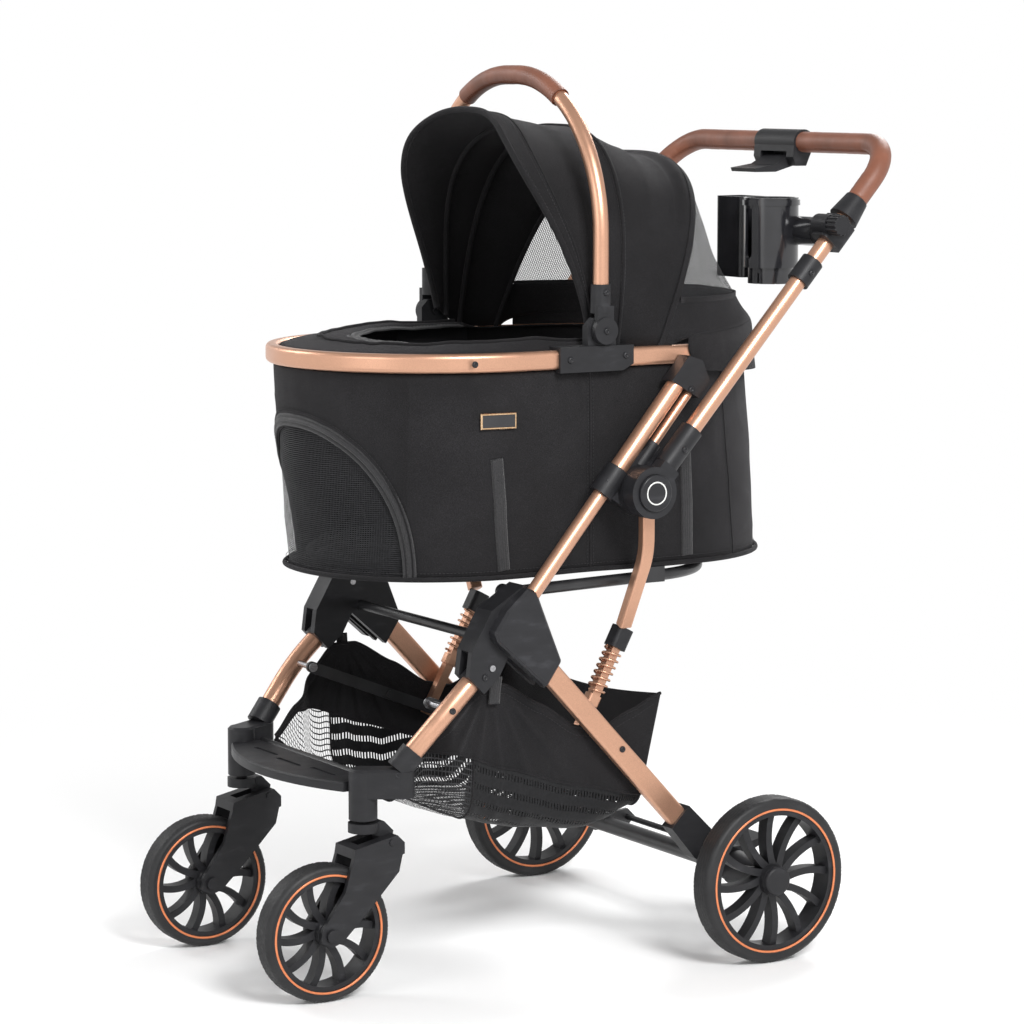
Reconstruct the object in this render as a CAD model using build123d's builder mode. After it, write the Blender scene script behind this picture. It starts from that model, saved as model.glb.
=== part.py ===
from build123d import *
import os
from math import atan2, cos, degrees, radians, sin

# Pet stroller. Millimetres, +Z up, floor at Z 0, nose towards -Y, left side +X.
# Every piece is made on the left side and mirrored where the right side has one too.

# Driving dimensions ----------------------------------------------------------------------
LEG_X = 205.0             # plane of the front and rear legs
UPPER_X = 228.0           # plane of the telescoping upper tubes
HANDLE_X = 250.0          # plane of the handle tubes
SWIVEL_X = 166.0          # plane of the front wheels and caster stems
REAR_WHEEL_X = 290.0      # middle of each rear wheel
STRUT_X = 180.0           # plane of the lower strut rods
BRACE_X = 160.0           # middle of the folding brace links

REAR_WHEEL_R = 108.0
FRONT_WHEEL_R = 86.0
WHEEL_HALF = 17.5         # half the width of every tyre

CROSSING = (-133.0, 462.0)    # (Y, Z) pivot of the rear legs
HUB = (51.0, 617.0)           # (Y, Z) pivot of the handle and the struts
REAR_AXLE = (215.0, 108.0)
FRONT_AXLE = (-371.0, 86.0)
SWIVEL_Y = -313.0
FORK_PIVOT = (-286.0, 194.0)
BAIL_PIVOT = (5.0, 820.0)
CANOPY_PIVOT = (10.0, 815.0)
BRACE_FRONT = (-212.0, 357.0)
BRACE_MIDDLE = (-95.0, 310.6)
BRACE_REAR = (-20.0, 281.0)
BRAKE_PIVOT = (246.0, 116.0)

LEG_DIR = (0.6836, -0.7298)   # (Y, Z) down the rear leg
LEG_LENGTH = 409.0
UPPER_START = (-99.0, 502.5)
UPPER_DIR = (0.6445, 0.7646)  # (Y, Z) up the main tube
HANDLE_DIR = (0.667, 0.745)   # (Y, Z) up the handle tube
HANDLE_LENGTH = 578.0         # hub to crossbar
ROD_START = (50.0, 412.0)
ROD_DIR = (-0.471, -0.882)    # (Y, Z) down the strut rod

RIM_Z = (773.0, 797.0)
RIM_HALF = 215.5
RIM_WIDE = 17.0           # across the rim's tube
RIM_Y = (-331.0, 335.0)
SHELL_FLOOR_Z = 512.0
SEAT_Z = 500.0
CANOPY_R = 265.0

os.makedirs("parts", exist_ok=True)


# Helpers ---------------------------------------------------------------------------------
def side_plane(x):
    """Plane standing fore and aft at x: sketch X runs rearwards, sketch Y up, normal +X."""
    return Plane(origin=(x, 0, 0), x_dir=(0, 1, 0), z_dir=(1, 0, 0))


def along(start, direction, distance, aside=0.0):
    """(Y, Z) point at a distance along a direction, and aside of it to its right."""
    y = start[0] + direction[0] * distance + direction[1] * aside
    z = start[1] + direction[1] * distance - direction[0] * aside
    return (y, z)


def at_x(x, point):
    """A (Y, Z) point as (X, Y, Z)."""
    return (x, point[0], point[1])


def line_plane(x, start, direction, distance):
    """Plane across a straight member in the plane x, its local X along the stroller's X."""
    origin = at_x(x, along(start, direction, distance))
    return Plane(origin=origin, x_dir=(1, 0, 0), z_dir=(0, direction[0], direction[1]))


def write(piece, name):
    """Label a finished piece and write it as one node."""
    piece.part.label = name
    export_step(piece.part, f"parts/{name}.step")


def write_pair(left, name):
    """Write a left-hand piece, and its mirror image as the right-hand one."""
    with BuildPart() as right:
        mirror(left.part, about=Plane.YZ)
    write(left, f"{name}_left")
    write(right, f"{name}_right")


# Wheels ----------------------------------------------------------------------------------
def wheel_plane(x, axle):
    """Plane through a wheel's axle: sketch X along the axle, sketch Y outwards."""
    return Plane(origin=at_x(x, axle), x_dir=(1, 0, 0), z_dir=(0, -1, 0))


def wheel(name, x, axle, radius, spokes, bore, hub_radius, hub_half, cap):
    """A tyre, and a spoked rim with its hub; the rear wheels have a domed cap."""
    seat = radius * 0.86
    axle_line = Axis(at_x(x, axle), (1, 0, 0))
    with BuildPart() as tyre:
        with BuildSketch(wheel_plane(x, axle)) as section:
            with Locations((0, (radius + seat) / 2)):
                Rectangle(2 * WHEEL_HALF, radius - seat)
            fillet(section.vertices().group_by(Axis.Y)[-1], 7)
        revolve(axis=axle_line)
    write_pair(tyre, f"{name}_tyre")

    hub_face = Plane(origin=at_x(x - 9, axle), x_dir=(0, 1, 0), z_dir=(1, 0, 0))
    with BuildSketch() as blade:
        with BuildLine():
            foot = hub_radius - 2
            lip = seat - 5
            ThreePointArc((foot, -7), ((foot + lip) / 2, 1), (lip, -4))
            Line((lip, -4), (lip, 6))
            ThreePointArc((lip, 6), ((foot + lip) / 2, 10), (foot, 4))
            Line((foot, 4), (foot, -7))
        make_face()
    with BuildPart() as rim:
        with BuildSketch(wheel_plane(x, axle)):
            with Locations((0, seat - 4)):
                Rectangle(2 * WHEEL_HALF - 3, 8)
            with Locations((0, (hub_radius + bore) / 2)):
                Rectangle(2 * hub_half, hub_radius - bore)
        revolve(axis=axle_line)
        with BuildSketch(hub_face):
            with PolarLocations(0, spokes):
                add(blade.sketch)
        extrude(amount=18)
        if cap:
            with BuildSketch(side_plane(x + hub_half)):
                with Locations(axle):
                    Circle(hub_radius - 1)
            extrude(amount=6)
            fillet(rim.edges().filter_by(GeomType.CIRCLE).sort_by(Axis.X)[-1], 4)
    write_pair(rim, f"{name}_rim")


AXLE_R = 5.0
FRONT_BOLT_R = 4.0
RUNNING = 0.2
wheel("rear", REAR_WHEEL_X, REAR_AXLE, REAR_WHEEL_R, 12, AXLE_R + RUNNING, 20, 18, True)
wheel("front", SWIVEL_X, FRONT_AXLE, FRONT_WHEEL_R, 10, FRONT_BOLT_R + RUNNING, 16, 18, False)


# Front legs ------------------------------------------------------------------------------
LEG_FOOT = (190.0, -272.0, 288.0)
LEG_KNEE = (206.0, -214.0, 356.0)
LEG_TOP = (204.5, -166.0, 400.5)
LEG_TUBE_R = 12.5

with BuildPart() as front_leg:
    with BuildLine() as run:
        FilletPolyline(LEG_FOOT, LEG_KNEE, LEG_TOP, radius=300)
    with BuildSketch(Plane(origin=run.line @ 0, z_dir=run.line % 0)):
        Circle(LEG_TUBE_R)
        Circle(LEG_TUBE_R - 1.6, mode=Mode.SUBTRACT)
    sweep()
write_pair(front_leg, "front_leg")

with BuildPart() as leg_space:
    with BuildLine() as space_run:
        FilletPolyline(LEG_FOOT, LEG_KNEE, LEG_TOP, radius=300)
    with BuildSketch(Plane(origin=space_run.line @ 0, z_dir=space_run.line % 0)):
        Circle(LEG_TUBE_R)
    sweep()


# Crossing housings: two plates with the rear leg swinging between them ------
PLATE_IN = (186.0, 196.5)
PLATE_OUT = (213.5, 222.0)
COVER_X = (222.0, 239.0)
PLATE_OUTLINE = [
    (-113, 507), (-97, 502), (-60, 409), (-83, 374), (-135, 420),
    (-149, 394), (-171, 374), (-193, 397), (-189, 428), (-160, 478),
]
BLOCK_OUTLINE = [
    (-113, 507), (-97, 502), (-84, 440), (-117, 480), (-133, 482),
    (-153, 466), (-154, 430), (-166, 412), (-189, 428), (-160, 478),
]
COVER_OUTLINE = [
    (-116, 505), (-104, 500), (-67, 409), (-89, 377), (-160, 440), (-165, 452), (-146, 479),
]
LOWER_TUBE_R = 9.75
SOCKET_DIR = (0.733, 0.680)
PIVOT_PIN_R = 4.0


def outline(points, x0, x1):
    """A straight-sided plate between x0 and x1, as a part of its own."""
    with BuildPart() as plate:
        with BuildSketch(side_plane(x0)):
            with BuildLine():
                Polyline(*points, close=True)
            make_face()
        extrude(amount=x1 - x0)
    return plate.part


def round_bar(x, start, direction, from_s, to_s, radius):
    """A solid round bar in the plane x, from one distance to another along a direction."""
    with BuildPart() as bar:
        with BuildSketch(line_plane(x, start, direction, from_s)):
            Circle(radius)
        extrude(amount=to_s - from_s)
    return bar.part


def cross_bar(point, x0, x1, radius):
    """A solid round bar along X at a (Y, Z) point."""
    with BuildPart() as bar:
        with BuildSketch(side_plane(x0)):
            with Locations(point):
                Circle(radius)
        extrude(amount=x1 - x0)
    return bar.part


LOWER_TUBE_SPAN = (-25.0, 215.0)
lower_tube_solid = round_bar(UPPER_X, UPPER_START, UPPER_DIR, *LOWER_TUBE_SPAN, LOWER_TUBE_R)
socket_solid = round_bar(LEG_X, (-166, 400.5), SOCKET_DIR, -22, 8, 16)
inner_plate = outline(PLATE_OUTLINE, *PLATE_IN)
outer_plate = outline(PLATE_OUTLINE, *PLATE_OUT)
middle_block = outline(BLOCK_OUTLINE, PLATE_IN[1], PLATE_OUT[0])
crossing_pin = cross_bar(CROSSING, PLATE_IN[0], PLATE_OUT[1], PIVOT_PIN_R)

with BuildPart() as crossing_housings:
    add(inner_plate)
    add(outer_plate)
    add(middle_block)
    add(socket_solid)
    add(leg_space.part, mode=Mode.SUBTRACT)
    add(lower_tube_solid, mode=Mode.SUBTRACT)
    add(crossing_pin, mode=Mode.SUBTRACT)
    mirror(about=Plane.YZ)
write(crossing_housings, "crossing_housings")

with BuildPart() as crossing_covers:
    with BuildSketch(side_plane(COVER_X[0])) as cover_face:
        with BuildLine():
            Polyline(*COVER_OUTLINE, close=True)
        make_face()
        fillet(cover_face.vertices(), 5)
    extrude(amount=COVER_X[1] - COVER_X[0])
    chamfer(crossing_covers.faces().sort_by(Axis.X)[-1].edges(), 3)
    add(lower_tube_solid, mode=Mode.SUBTRACT)
    mirror(about=Plane.YZ)
write(crossing_covers, "crossing_covers")


# Lower tubes, which the upper tubes slide over -------------------------------------------
with BuildPart() as lower_tubes:
    with BuildSketch(line_plane(UPPER_X, UPPER_START, UPPER_DIR, LOWER_TUBE_SPAN[0])):
        Circle(LOWER_TUBE_R)
        Circle(LOWER_TUBE_R - 1.5, mode=Mode.SUBTRACT)
    extrude(amount=LOWER_TUBE_SPAN[1] - LOWER_TUBE_SPAN[0])
    mirror(about=Plane.YZ)
write(lower_tubes, "lower_tubes")


# Cross tube between the crossing housings ------------------------------------------------
with BuildPart() as frame_cross_tube:
    with BuildSketch(side_plane(-PLATE_IN[0])):
        with Locations((-121, 430)):
            Circle(6.5)
            Circle(5, mode=Mode.SUBTRACT)
    extrude(amount=2 * PLATE_IN[0])
write(frame_cross_tube, "frame_cross_tube")


# Caster housings -------------------------------------------------------------------------
HOUSING_Z = (222.0, 286.0)
HOUSING_R = 18.0
STEM_R = 7.0
STEM_TOP = 268.0
FOOT_DIR = Vector(*LEG_KNEE) - Vector(*LEG_FOOT)
SOCKET_MID = (178.0, -292.5)

with BuildPart() as caster_housings:
    with BuildSketch(Plane.XY.offset(HOUSING_Z[0])):
        with Locations((SWIVEL_X, SWIVEL_Y)):
            Circle(HOUSING_R)
    extrude(amount=HOUSING_Z[1] - HOUSING_Z[0])
    with BuildSketch(Plane.XY.offset(250)):
        with Locations(Location((SOCKET_MID[0], SOCKET_MID[1], 0), (0, 0, 59.7))):
            SlotCenterToCenter(47, 34)
    extrude(amount=HOUSING_Z[1] - 250)
    chamfer(caster_housings.faces().sort_by(Axis.Z)[-1].edges(), 3)
    with BuildSketch(Plane(origin=Vector(*LEG_FOOT) - FOOT_DIR.normalized() * 6, z_dir=FOOT_DIR)):
        Circle(16.5)
    extrude(amount=30)
    add(leg_space.part, mode=Mode.SUBTRACT)
    with BuildSketch(Plane.XY.offset(HOUSING_Z[0])):
        with Locations((SWIVEL_X, SWIVEL_Y)):
            Circle(STEM_R + RUNNING)
    extrude(amount=STEM_TOP + 1 - HOUSING_Z[0], mode=Mode.SUBTRACT)
    mirror(about=Plane.YZ)
write(caster_housings, "caster_housings")


# Footrest and the tube behind it ---------------------------------------------------------
TRAY_Z = (256.0, 268.0)

with BuildPart() as footrest:
    with BuildSketch(Plane.XY.offset(TRAY_Z[0])):
        with BuildLine():
            ThreePointArc((-154, -334), (0, -372), (154, -334))
            Polyline((154, -334), (154, -292), (-154, -292), (-154, -334))
        make_face()
    extrude(amount=TRAY_Z[1] - TRAY_Z[0])
    chamfer(footrest.faces().sort_by(Axis.Z)[-1].edges(), 2)
    with BuildSketch(Plane.XY.offset(TRAY_Z[1] - 2)):
        with Locations((-78, -322), (0, -330), (78, -322)):
            SlotOverall(62, 7)
    extrude(amount=3, mode=Mode.SUBTRACT)
    for side in (-1, 1):
        with BuildSketch(Plane.XY.offset(TRAY_Z[0])):
            with Locations((side * SWIVEL_X, SWIVEL_Y)):
                Circle(HOUSING_R + 0.1)
        extrude(amount=30, mode=Mode.SUBTRACT)
write(footrest, "footrest")

with BuildPart() as front_cross_tube:
    with BuildSketch(side_plane(-162)):
        with Locations((-283, 262)):
            Circle(6.5)
            Circle(5, mode=Mode.SUBTRACT)
    extrude(amount=324)
    add(caster_housings.part, mode=Mode.SUBTRACT)
write(front_cross_tube, "front_cross_tube")


# Rear legs, axle brackets and axle -------------------------------------------------------
LEG_WIDE = 28.0
LEG_THICK = 15.0
BRACKET_X = (193.0, 217.0)
DRUM_END = 269.0

with BuildPart() as rear_leg:
    with BuildSketch(line_plane(LEG_X, CROSSING, LEG_DIR, 0)) as leg_section:
        Rectangle(LEG_THICK, LEG_WIDE)
        fillet(leg_section.vertices(), 4)
        offset(amount=-1.6, mode=Mode.SUBTRACT)
    extrude(amount=LEG_LENGTH)
    with BuildSketch(side_plane(LEG_X - LEG_THICK / 2)):
        with Locations(CROSSING):
            Circle(LEG_WIDE / 2)
            Circle(PIVOT_PIN_R + 0.1, mode=Mode.SUBTRACT)
    extrude(amount=LEG_THICK)
    with BuildSketch(side_plane(LEG_X - LEG_THICK / 2)):
        with Locations(CROSSING):
            Circle(PIVOT_PIN_R + 0.1)
    extrude(amount=LEG_THICK, mode=Mode.SUBTRACT)
write_pair(rear_leg, "rear_leg")

BRACKET_OUTLINE = [
    (141, 198), (114, 171), (150, 128), (196, 97), (215, 87), (230, 93), (237, 108),
    (229, 125), (190, 150),
]
with BuildPart() as leg_outer:
    with BuildSketch(line_plane(LEG_X, CROSSING, LEG_DIR, 0)) as leg_outer_section:
        Rectangle(LEG_THICK, LEG_WIDE)
        fillet(leg_outer_section.vertices(), 4)
    extrude(amount=LEG_LENGTH)
bracket_block = outline(BRACKET_OUTLINE, *BRACKET_X)
axle_hole = cross_bar(REAR_AXLE, 150, 320, AXLE_R)

with BuildPart() as axle_brackets:
    add(bracket_block)
    add(leg_outer.part, mode=Mode.SUBTRACT)
    with BuildSketch(side_plane(BRACKET_X[1])):
        with Locations(REAR_AXLE):
            Circle(23)
    extrude(amount=DRUM_END - BRACKET_X[1], taper=6)
    add(axle_hole, mode=Mode.SUBTRACT)
    mirror(about=Plane.YZ)
write(axle_brackets, "axle_brackets")

with BuildPart() as rear_axle:
    with BuildSketch(side_plane(-300)):
        with Locations(REAR_AXLE):
            Circle(AXLE_R)
    extrude(amount=600)
write(rear_axle, "rear_axle")

with BuildPart() as axle_tube:
    with BuildSketch(side_plane(-BRACKET_X[0])):
        with Locations(REAR_AXLE):
            Circle(11)
            Circle(AXLE_R, mode=Mode.SUBTRACT)
    extrude(amount=2 * BRACKET_X[0])
    for x in (-96, 90):
        with BuildSketch(side_plane(x)):
            with BuildLine():
                Polyline((204, 124), (246, 128), (258, 116), (246, 104), (216, 96), close=True)
            make_face()
            with Locations(REAR_AXLE):
                Circle(10, mode=Mode.SUBTRACT)
            with Locations(BRAKE_PIVOT):
                Circle(4 + RUNNING, mode=Mode.SUBTRACT)
        extrude(amount=6)
write(axle_tube, "axle_tube")


# Brake bar with its foot pedal -----------------------------------------------------------
with BuildPart() as brake_pedal:
    with BuildSketch(side_plane(-170)):
        with Locations(BRAKE_PIVOT):
            Circle(4)
    extrude(amount=340)
    with BuildSketch(side_plane(110)):
        with BuildLine():
            Polyline((240, 124), (252, 124), (296, 134), (294, 126), (254, 108), (240, 108),
                     close=True)
        make_face()
    extrude(amount=62)
    for x in (-170, 164):
        with BuildSketch(side_plane(x)):
            with BuildLine():
                Polyline((238, 124), (254, 124), (252, 84), (240, 84), close=True)
            make_face()
        extrude(amount=6)
write(brake_pedal, "brake_pedal")


# Casters: stem with its plate, and the sprung fork ---------------------------------------
FORK_HALF = 25.5
FORK_GAP = 19.0
EAR_HALF = 9.0

with BuildPart() as caster_stem:
    with BuildSketch(Plane.XY.offset(206)):
        with Locations((SWIVEL_X, SWIVEL_Y)):
            Circle(19)
    extrude(amount=12)
    with BuildSketch(Plane.XY.offset(206)):
        with Locations((SWIVEL_X, SWIVEL_Y)):
            Circle(STEM_R)
    extrude(amount=STEM_TOP - 206)
    with BuildSketch(side_plane(SWIVEL_X - EAR_HALF)):
        with BuildLine():
            Polyline((-320, 218), (-320, 207), (-296, 200), (-294, 188), (-278, 188),
                     (-275, 205), (-288, 218), close=True)
        make_face()
        with Locations(FORK_PIVOT):
            Circle(9)
    extrude(amount=2 * EAR_HALF)
    with BuildSketch(side_plane(SWIVEL_X - EAR_HALF)):
        with Locations(FORK_PIVOT):
            Circle(4.2)
    extrude(amount=2 * EAR_HALF, mode=Mode.SUBTRACT)
write_pair(caster_stem, "caster_stem")

SADDLE_OUTLINE = [
    (-340, 178), (-338, 190), (-300, 198), (-278, 202), (-268, 192), (-268, 178),
    (-290, 170), (-320, 174),
]
ARM_OUTLINE = [
    (-340, 178), (-338, 190), (-300, 198), (-278, 202), (-268, 190), (-276, 156),
    (-322, 108), (-356, 76), (-371, 71), (-385, 78), (-385, 92), (-352, 138),
]
fork_saddle = outline(SADDLE_OUTLINE, SWIVEL_X - FORK_HALF, SWIVEL_X + FORK_HALF)
fork_arm_in = outline(ARM_OUTLINE, SWIVEL_X - FORK_HALF, SWIVEL_X - FORK_GAP)
fork_arm_out = outline(ARM_OUTLINE, SWIVEL_X + FORK_GAP, SWIVEL_X + FORK_HALF)
fork_pin = cross_bar(FORK_PIVOT, SWIVEL_X - FORK_HALF - 2, SWIVEL_X + FORK_HALF + 2, 4)
front_bolt = cross_bar(FRONT_AXLE, SWIVEL_X - 28, SWIVEL_X + 28, FRONT_BOLT_R)

with BuildPart() as fork:
    add(fork_saddle)
    add(fork_arm_in)
    add(fork_arm_out)
    with BuildSketch(side_plane(SWIVEL_X - EAR_HALF - 0.6)):
        with BuildLine():
            Polyline((-326, 182), (-326, 240), (-250, 240), (-250, 182), close=True)
        make_face()
    extrude(amount=2 * EAR_HALF + 1.2, mode=Mode.SUBTRACT)
    add(fork_pin)
    add(front_bolt)
    for x in (SWIVEL_X - 30, SWIVEL_X + 26):
        with BuildSketch(side_plane(x)):
            with Locations(FRONT_AXLE):
                Circle(8)
        extrude(amount=4)
write_pair(fork, "fork")


# Struts between the hubs and the rear legs -----------------------------------------------
STRUT_TOP = (236.0, 60.0, 588.0)
STRUT_BEND = (236.0, 60.0, 536.0)
STRUT_FOOT = (187.0, 58.0, 438.0)
ROD_HALF = 6.0
SLEEVE_S = (-24.0, 4.0)       # upper sleeve, measured down the rod
STOP_S = (70.0, 84.0)         # lower sleeve, which the spring stands on

with BuildPart() as strut_tubes:
    with BuildLine() as strut_run:
        FilletPolyline(STRUT_TOP, STRUT_BEND, STRUT_FOOT, radius=90)
    with BuildSketch(Plane(origin=STRUT_TOP, x_dir=(1, 0, 0), z_dir=strut_run.line % 0)) as tube_face:
        Rectangle(14, 18)
        fillet(tube_face.vertices(), 3)
    sweep()
    mirror(about=Plane.YZ)
write(strut_tubes, "strut_tubes")

with BuildPart() as strut_sleeves:
    with BuildSketch(line_plane(STRUT_X, ROD_START, ROD_DIR, SLEEVE_S[0])) as sleeve_face:
        Rectangle(24, 24)
        fillet(sleeve_face.vertices(), 6)
    extrude(amount=SLEEVE_S[1] - SLEEVE_S[0])
    with BuildSketch(line_plane(STRUT_X, ROD_START, ROD_DIR, SLEEVE_S[0] + 2)):
        Rectangle(2 * ROD_HALF + 0.6, 2 * ROD_HALF + 0.6)
    extrude(amount=40, mode=Mode.SUBTRACT)
    add(strut_tubes.part, mode=Mode.SUBTRACT)
    mirror(about=Plane.YZ)
write(strut_sleeves, "strut_sleeves")

ROD_SPAN = (-6.0, 158.0)
brace_stub = cross_bar(BRACE_REAR, BRACE_X + 4.5, STRUT_X - ROD_HALF + 1, 4)

with BuildPart() as strut_rods:
    with BuildSketch(line_plane(STRUT_X, ROD_START, ROD_DIR, ROD_SPAN[0])):
        Rectangle(2 * ROD_HALF, 2 * ROD_HALF)
    extrude(amount=ROD_SPAN[1] - ROD_SPAN[0])
    with BuildSketch(line_plane(STRUT_X, ROD_START, ROD_DIR, STOP_S[0])) as stop_face:
        Rectangle(16, 20)
        fillet(stop_face.vertices(), 5)
    extrude(amount=STOP_S[1] - STOP_S[0])
    add(brace_stub)
    mirror(about=Plane.YZ)
write(strut_rods, "strut_rods")

SPRING_R = 11.3
SPRING_WIRE_R = 1.6
with BuildPart() as strut_springs:
    with BuildLine() as coil_run:
        coil_top = at_x(STRUT_X, along(ROD_START, ROD_DIR, SLEEVE_S[1] + 2))
        Helix(8.6, 60, SPRING_R, center=coil_top, direction=(0, *ROD_DIR))
    with BuildSketch(Plane(origin=coil_run.line @ 0, z_dir=coil_run.line % 0)):
        Circle(SPRING_WIRE_R)
    sweep(is_frenet=True)
    mirror(about=Plane.YZ)
write(strut_springs, "strut_springs")


# Folding brace of two flat links ---------------------------------------------------------
def link(x0, x1, a, b, bore_a, bore_b):
    """A flat link with round ends between two (Y, Z) points; a bore of 0 leaves an end solid."""
    middle = ((a[0] + b[0]) / 2, (a[1] + b[1]) / 2)
    turn = degrees(atan2(b[1] - a[1], b[0] - a[0]))
    reach = ((b[0] - a[0]) ** 2 + (b[1] - a[1]) ** 2) ** 0.5
    with BuildPart() as bar:
        with BuildSketch(side_plane(x0)):
            with Locations(Location((middle[0], middle[1], 0), (0, 0, turn))):
                SlotCenterToCenter(reach, 15)
            if bore_a:
                with Locations(a):
                    Circle(bore_a, mode=Mode.SUBTRACT)
            if bore_b:
                with Locations(b):
                    Circle(bore_b, mode=Mode.SUBTRACT)
        extrude(amount=x1 - x0)
    return bar.part


front_link = link(BRACE_X - 4.5, BRACE_X - 0.5, BRACE_FRONT, BRACE_MIDDLE, 4.1, 0)
rear_link = link(BRACE_X, BRACE_X + 3.5, BRACE_MIDDLE, BRACE_REAR, 3.1, 0)
middle_rivet = cross_bar(BRACE_MIDDLE, BRACE_X - 7, BRACE_X + 6, 3)
rivet_head = cross_bar(BRACE_MIDDLE, BRACE_X - 7, BRACE_X - 4.5, 5)

with BuildPart() as brace_front_links:
    add(front_link)
    add(middle_rivet)
    add(rivet_head)
    mirror(about=Plane.YZ)
write(brace_front_links, "brace_front_links")

with BuildPart() as brace_rear_links:
    add(rear_link)
    mirror(about=Plane.YZ)
write(brace_rear_links, "brace_rear_links")


# Upper tubes, hub arms, top brackets and lock rods ---------------------------------------
UPPER_TUBE_R = 11.5
UPPER_SPAN = (150.0, 350.0)
COLLAR_SPAN = (146.0, 186.0)
HUB_IN = (222.0, 244.0)
HUB_OUT = (245.0, 268.0)
HUB_R = 33.0
LOCK_ROD_R = 6.0
LOCK_ASIDE = -22.0
LOCK_SPAN = (214.0, 344.0)

with BuildPart() as upper_tubes:
    with BuildSketch(line_plane(UPPER_X, UPPER_START, UPPER_DIR, UPPER_SPAN[0])):
        Circle(UPPER_TUBE_R)
        Circle(LOWER_TUBE_R + 0.35, mode=Mode.SUBTRACT)
    extrude(amount=UPPER_SPAN[1] - UPPER_SPAN[0])
    mirror(about=Plane.YZ)
write(upper_tubes, "upper_tubes")

lock_start = along(UPPER_START, UPPER_DIR, 0, -LOCK_ASIDE)
lock_rod_solid = round_bar(UPPER_X, lock_start, UPPER_DIR, *LOCK_SPAN, LOCK_ROD_R)
upper_tube_solid = round_bar(UPPER_X, UPPER_START, UPPER_DIR, *UPPER_SPAN, UPPER_TUBE_R)
lower_tube_way = round_bar(UPPER_X, UPPER_START, UPPER_DIR, 100, 320, LOWER_TUBE_R + 0.35)

with BuildPart() as lock_rods:
    add(lock_rod_solid)
    mirror(about=Plane.YZ)
write(lock_rods, "lock_rods")

collar_solid = round_bar(UPPER_X, UPPER_START, UPPER_DIR, *COLLAR_SPAN, 15.5)
rod_sleeve = round_bar(UPPER_X, lock_start, UPPER_DIR, 208, 244, 9.5)
hub_disc_inner = cross_bar(HUB, *HUB_IN, HUB_R)
arm_outline = [
    along(UPPER_START, UPPER_DIR, 150), along(UPPER_START, UPPER_DIR, 186),
    along(UPPER_START, UPPER_DIR, 238, 14), along(UPPER_START, UPPER_DIR, 238, 30),
    (84, 630), (60, 586), (24, 598),
]
hub_arm_plate = outline(arm_outline, 221, 234.5)

with BuildPart() as hub_arms:
    add(hub_disc_inner)
    add(hub_arm_plate)
    add(collar_solid)
    add(rod_sleeve)
    add(upper_tube_solid, mode=Mode.SUBTRACT)
    add(lower_tube_way, mode=Mode.SUBTRACT)
    add(lock_rod_solid, mode=Mode.SUBTRACT)
    with BuildSketch(side_plane(227.5)):
        with BuildLine():
            Polyline((38, 600), (74, 600), (86, 570), (30, 570), close=True)
        make_face()
    extrude(amount=18, mode=Mode.SUBTRACT)
    mirror(about=Plane.YZ)
write(hub_arms, "hub_arms")

top_outline = [
    along(UPPER_START, UPPER_DIR, 318, -14), along(UPPER_START, UPPER_DIR, 358, -14),
    along(UPPER_START, UPPER_DIR, 366, 6), along(UPPER_START, UPPER_DIR, 352, 34),
    along(UPPER_START, UPPER_DIR, 326, 34),
]
top_block = outline(top_outline, 217.5, 240)
with BuildPart() as top_brackets:
    add(top_block)
    add(upper_tube_solid, mode=Mode.SUBTRACT)
    add(lock_rod_solid, mode=Mode.SUBTRACT)
    mirror(about=Plane.YZ)
write(top_brackets, "top_brackets")


# Handle: hub discs, sleeves, bent tube and grip ------------------------------------------
HANDLE_TUBE_R = 11.0
GRIP_R = 14.0
SLEEVE_RANGE = (24.0, 101.0)
UPPER_SLEEVE = (345.0, 380.0)
CAP_RANGE = (452.0, 483.5)
LEVER_HALF = 46.0
handle_top = along(HUB, HANDLE_DIR, HANDLE_LENGTH)

with BuildPart() as handle_tube:
    with BuildLine() as handle_run:
        FilletPolyline(
            at_x(HANDLE_X, along(HUB, HANDLE_DIR, 60)), at_x(HANDLE_X, handle_top),
            at_x(-HANDLE_X, handle_top), at_x(-HANDLE_X, along(HUB, HANDLE_DIR, 60)), radius=60,
        )
    with BuildSketch(Plane(origin=handle_run.line @ 0, z_dir=handle_run.line % 0)):
        Circle(HANDLE_TUBE_R)
        Circle(HANDLE_TUBE_R - 1.5, mode=Mode.SUBTRACT)
    sweep()
write(handle_tube, "handle_tube")

with BuildPart() as handle_grip:
    with BuildLine() as grip_run:
        FilletPolyline(
            at_x(HANDLE_X, along(HUB, HANDLE_DIR, CAP_RANGE[1] + 0.5)), at_x(HANDLE_X, handle_top),
            at_x(LEVER_HALF, handle_top), radius=60,
        )
    with BuildSketch(Plane(origin=grip_run.line @ 0, z_dir=grip_run.line % 0)):
        Circle(GRIP_R)
        Circle(HANDLE_TUBE_R + 0.1, mode=Mode.SUBTRACT)
    sweep()
    mirror(about=Plane.YZ)
write(handle_grip, "handle_grip")

handle_bar_solid = round_bar(HANDLE_X, HUB, HANDLE_DIR, 60, 520, HANDLE_TUBE_R)
hub_disc_outer = cross_bar(HUB, *HUB_OUT, HUB_R)
button_seat = cross_bar(HUB, HUB_OUT[1] - 6, HUB_OUT[1] + 1, 24)
hub_sleeve = round_bar(HANDLE_X, HUB, HANDLE_DIR, 42.2, SLEEVE_RANGE[1], 15)
upper_sleeve = round_bar(HANDLE_X, HUB, HANDLE_DIR, *UPPER_SLEEVE, 15)
button_disc = cross_bar(HUB, HUB_OUT[1] - 2.5, HUB_OUT[1] + 5, 23.6)

with BuildPart() as hub_discs:
    add(hub_disc_outer)
    with BuildSketch(line_plane(HANDLE_X + 5.5, HUB, HANDLE_DIR, 20)):
        Rectangle(20, 28)
    extrude(amount=22)
    add(button_seat, mode=Mode.SUBTRACT)
    mirror(about=Plane.YZ)
write(hub_discs, "hub_discs")

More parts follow.
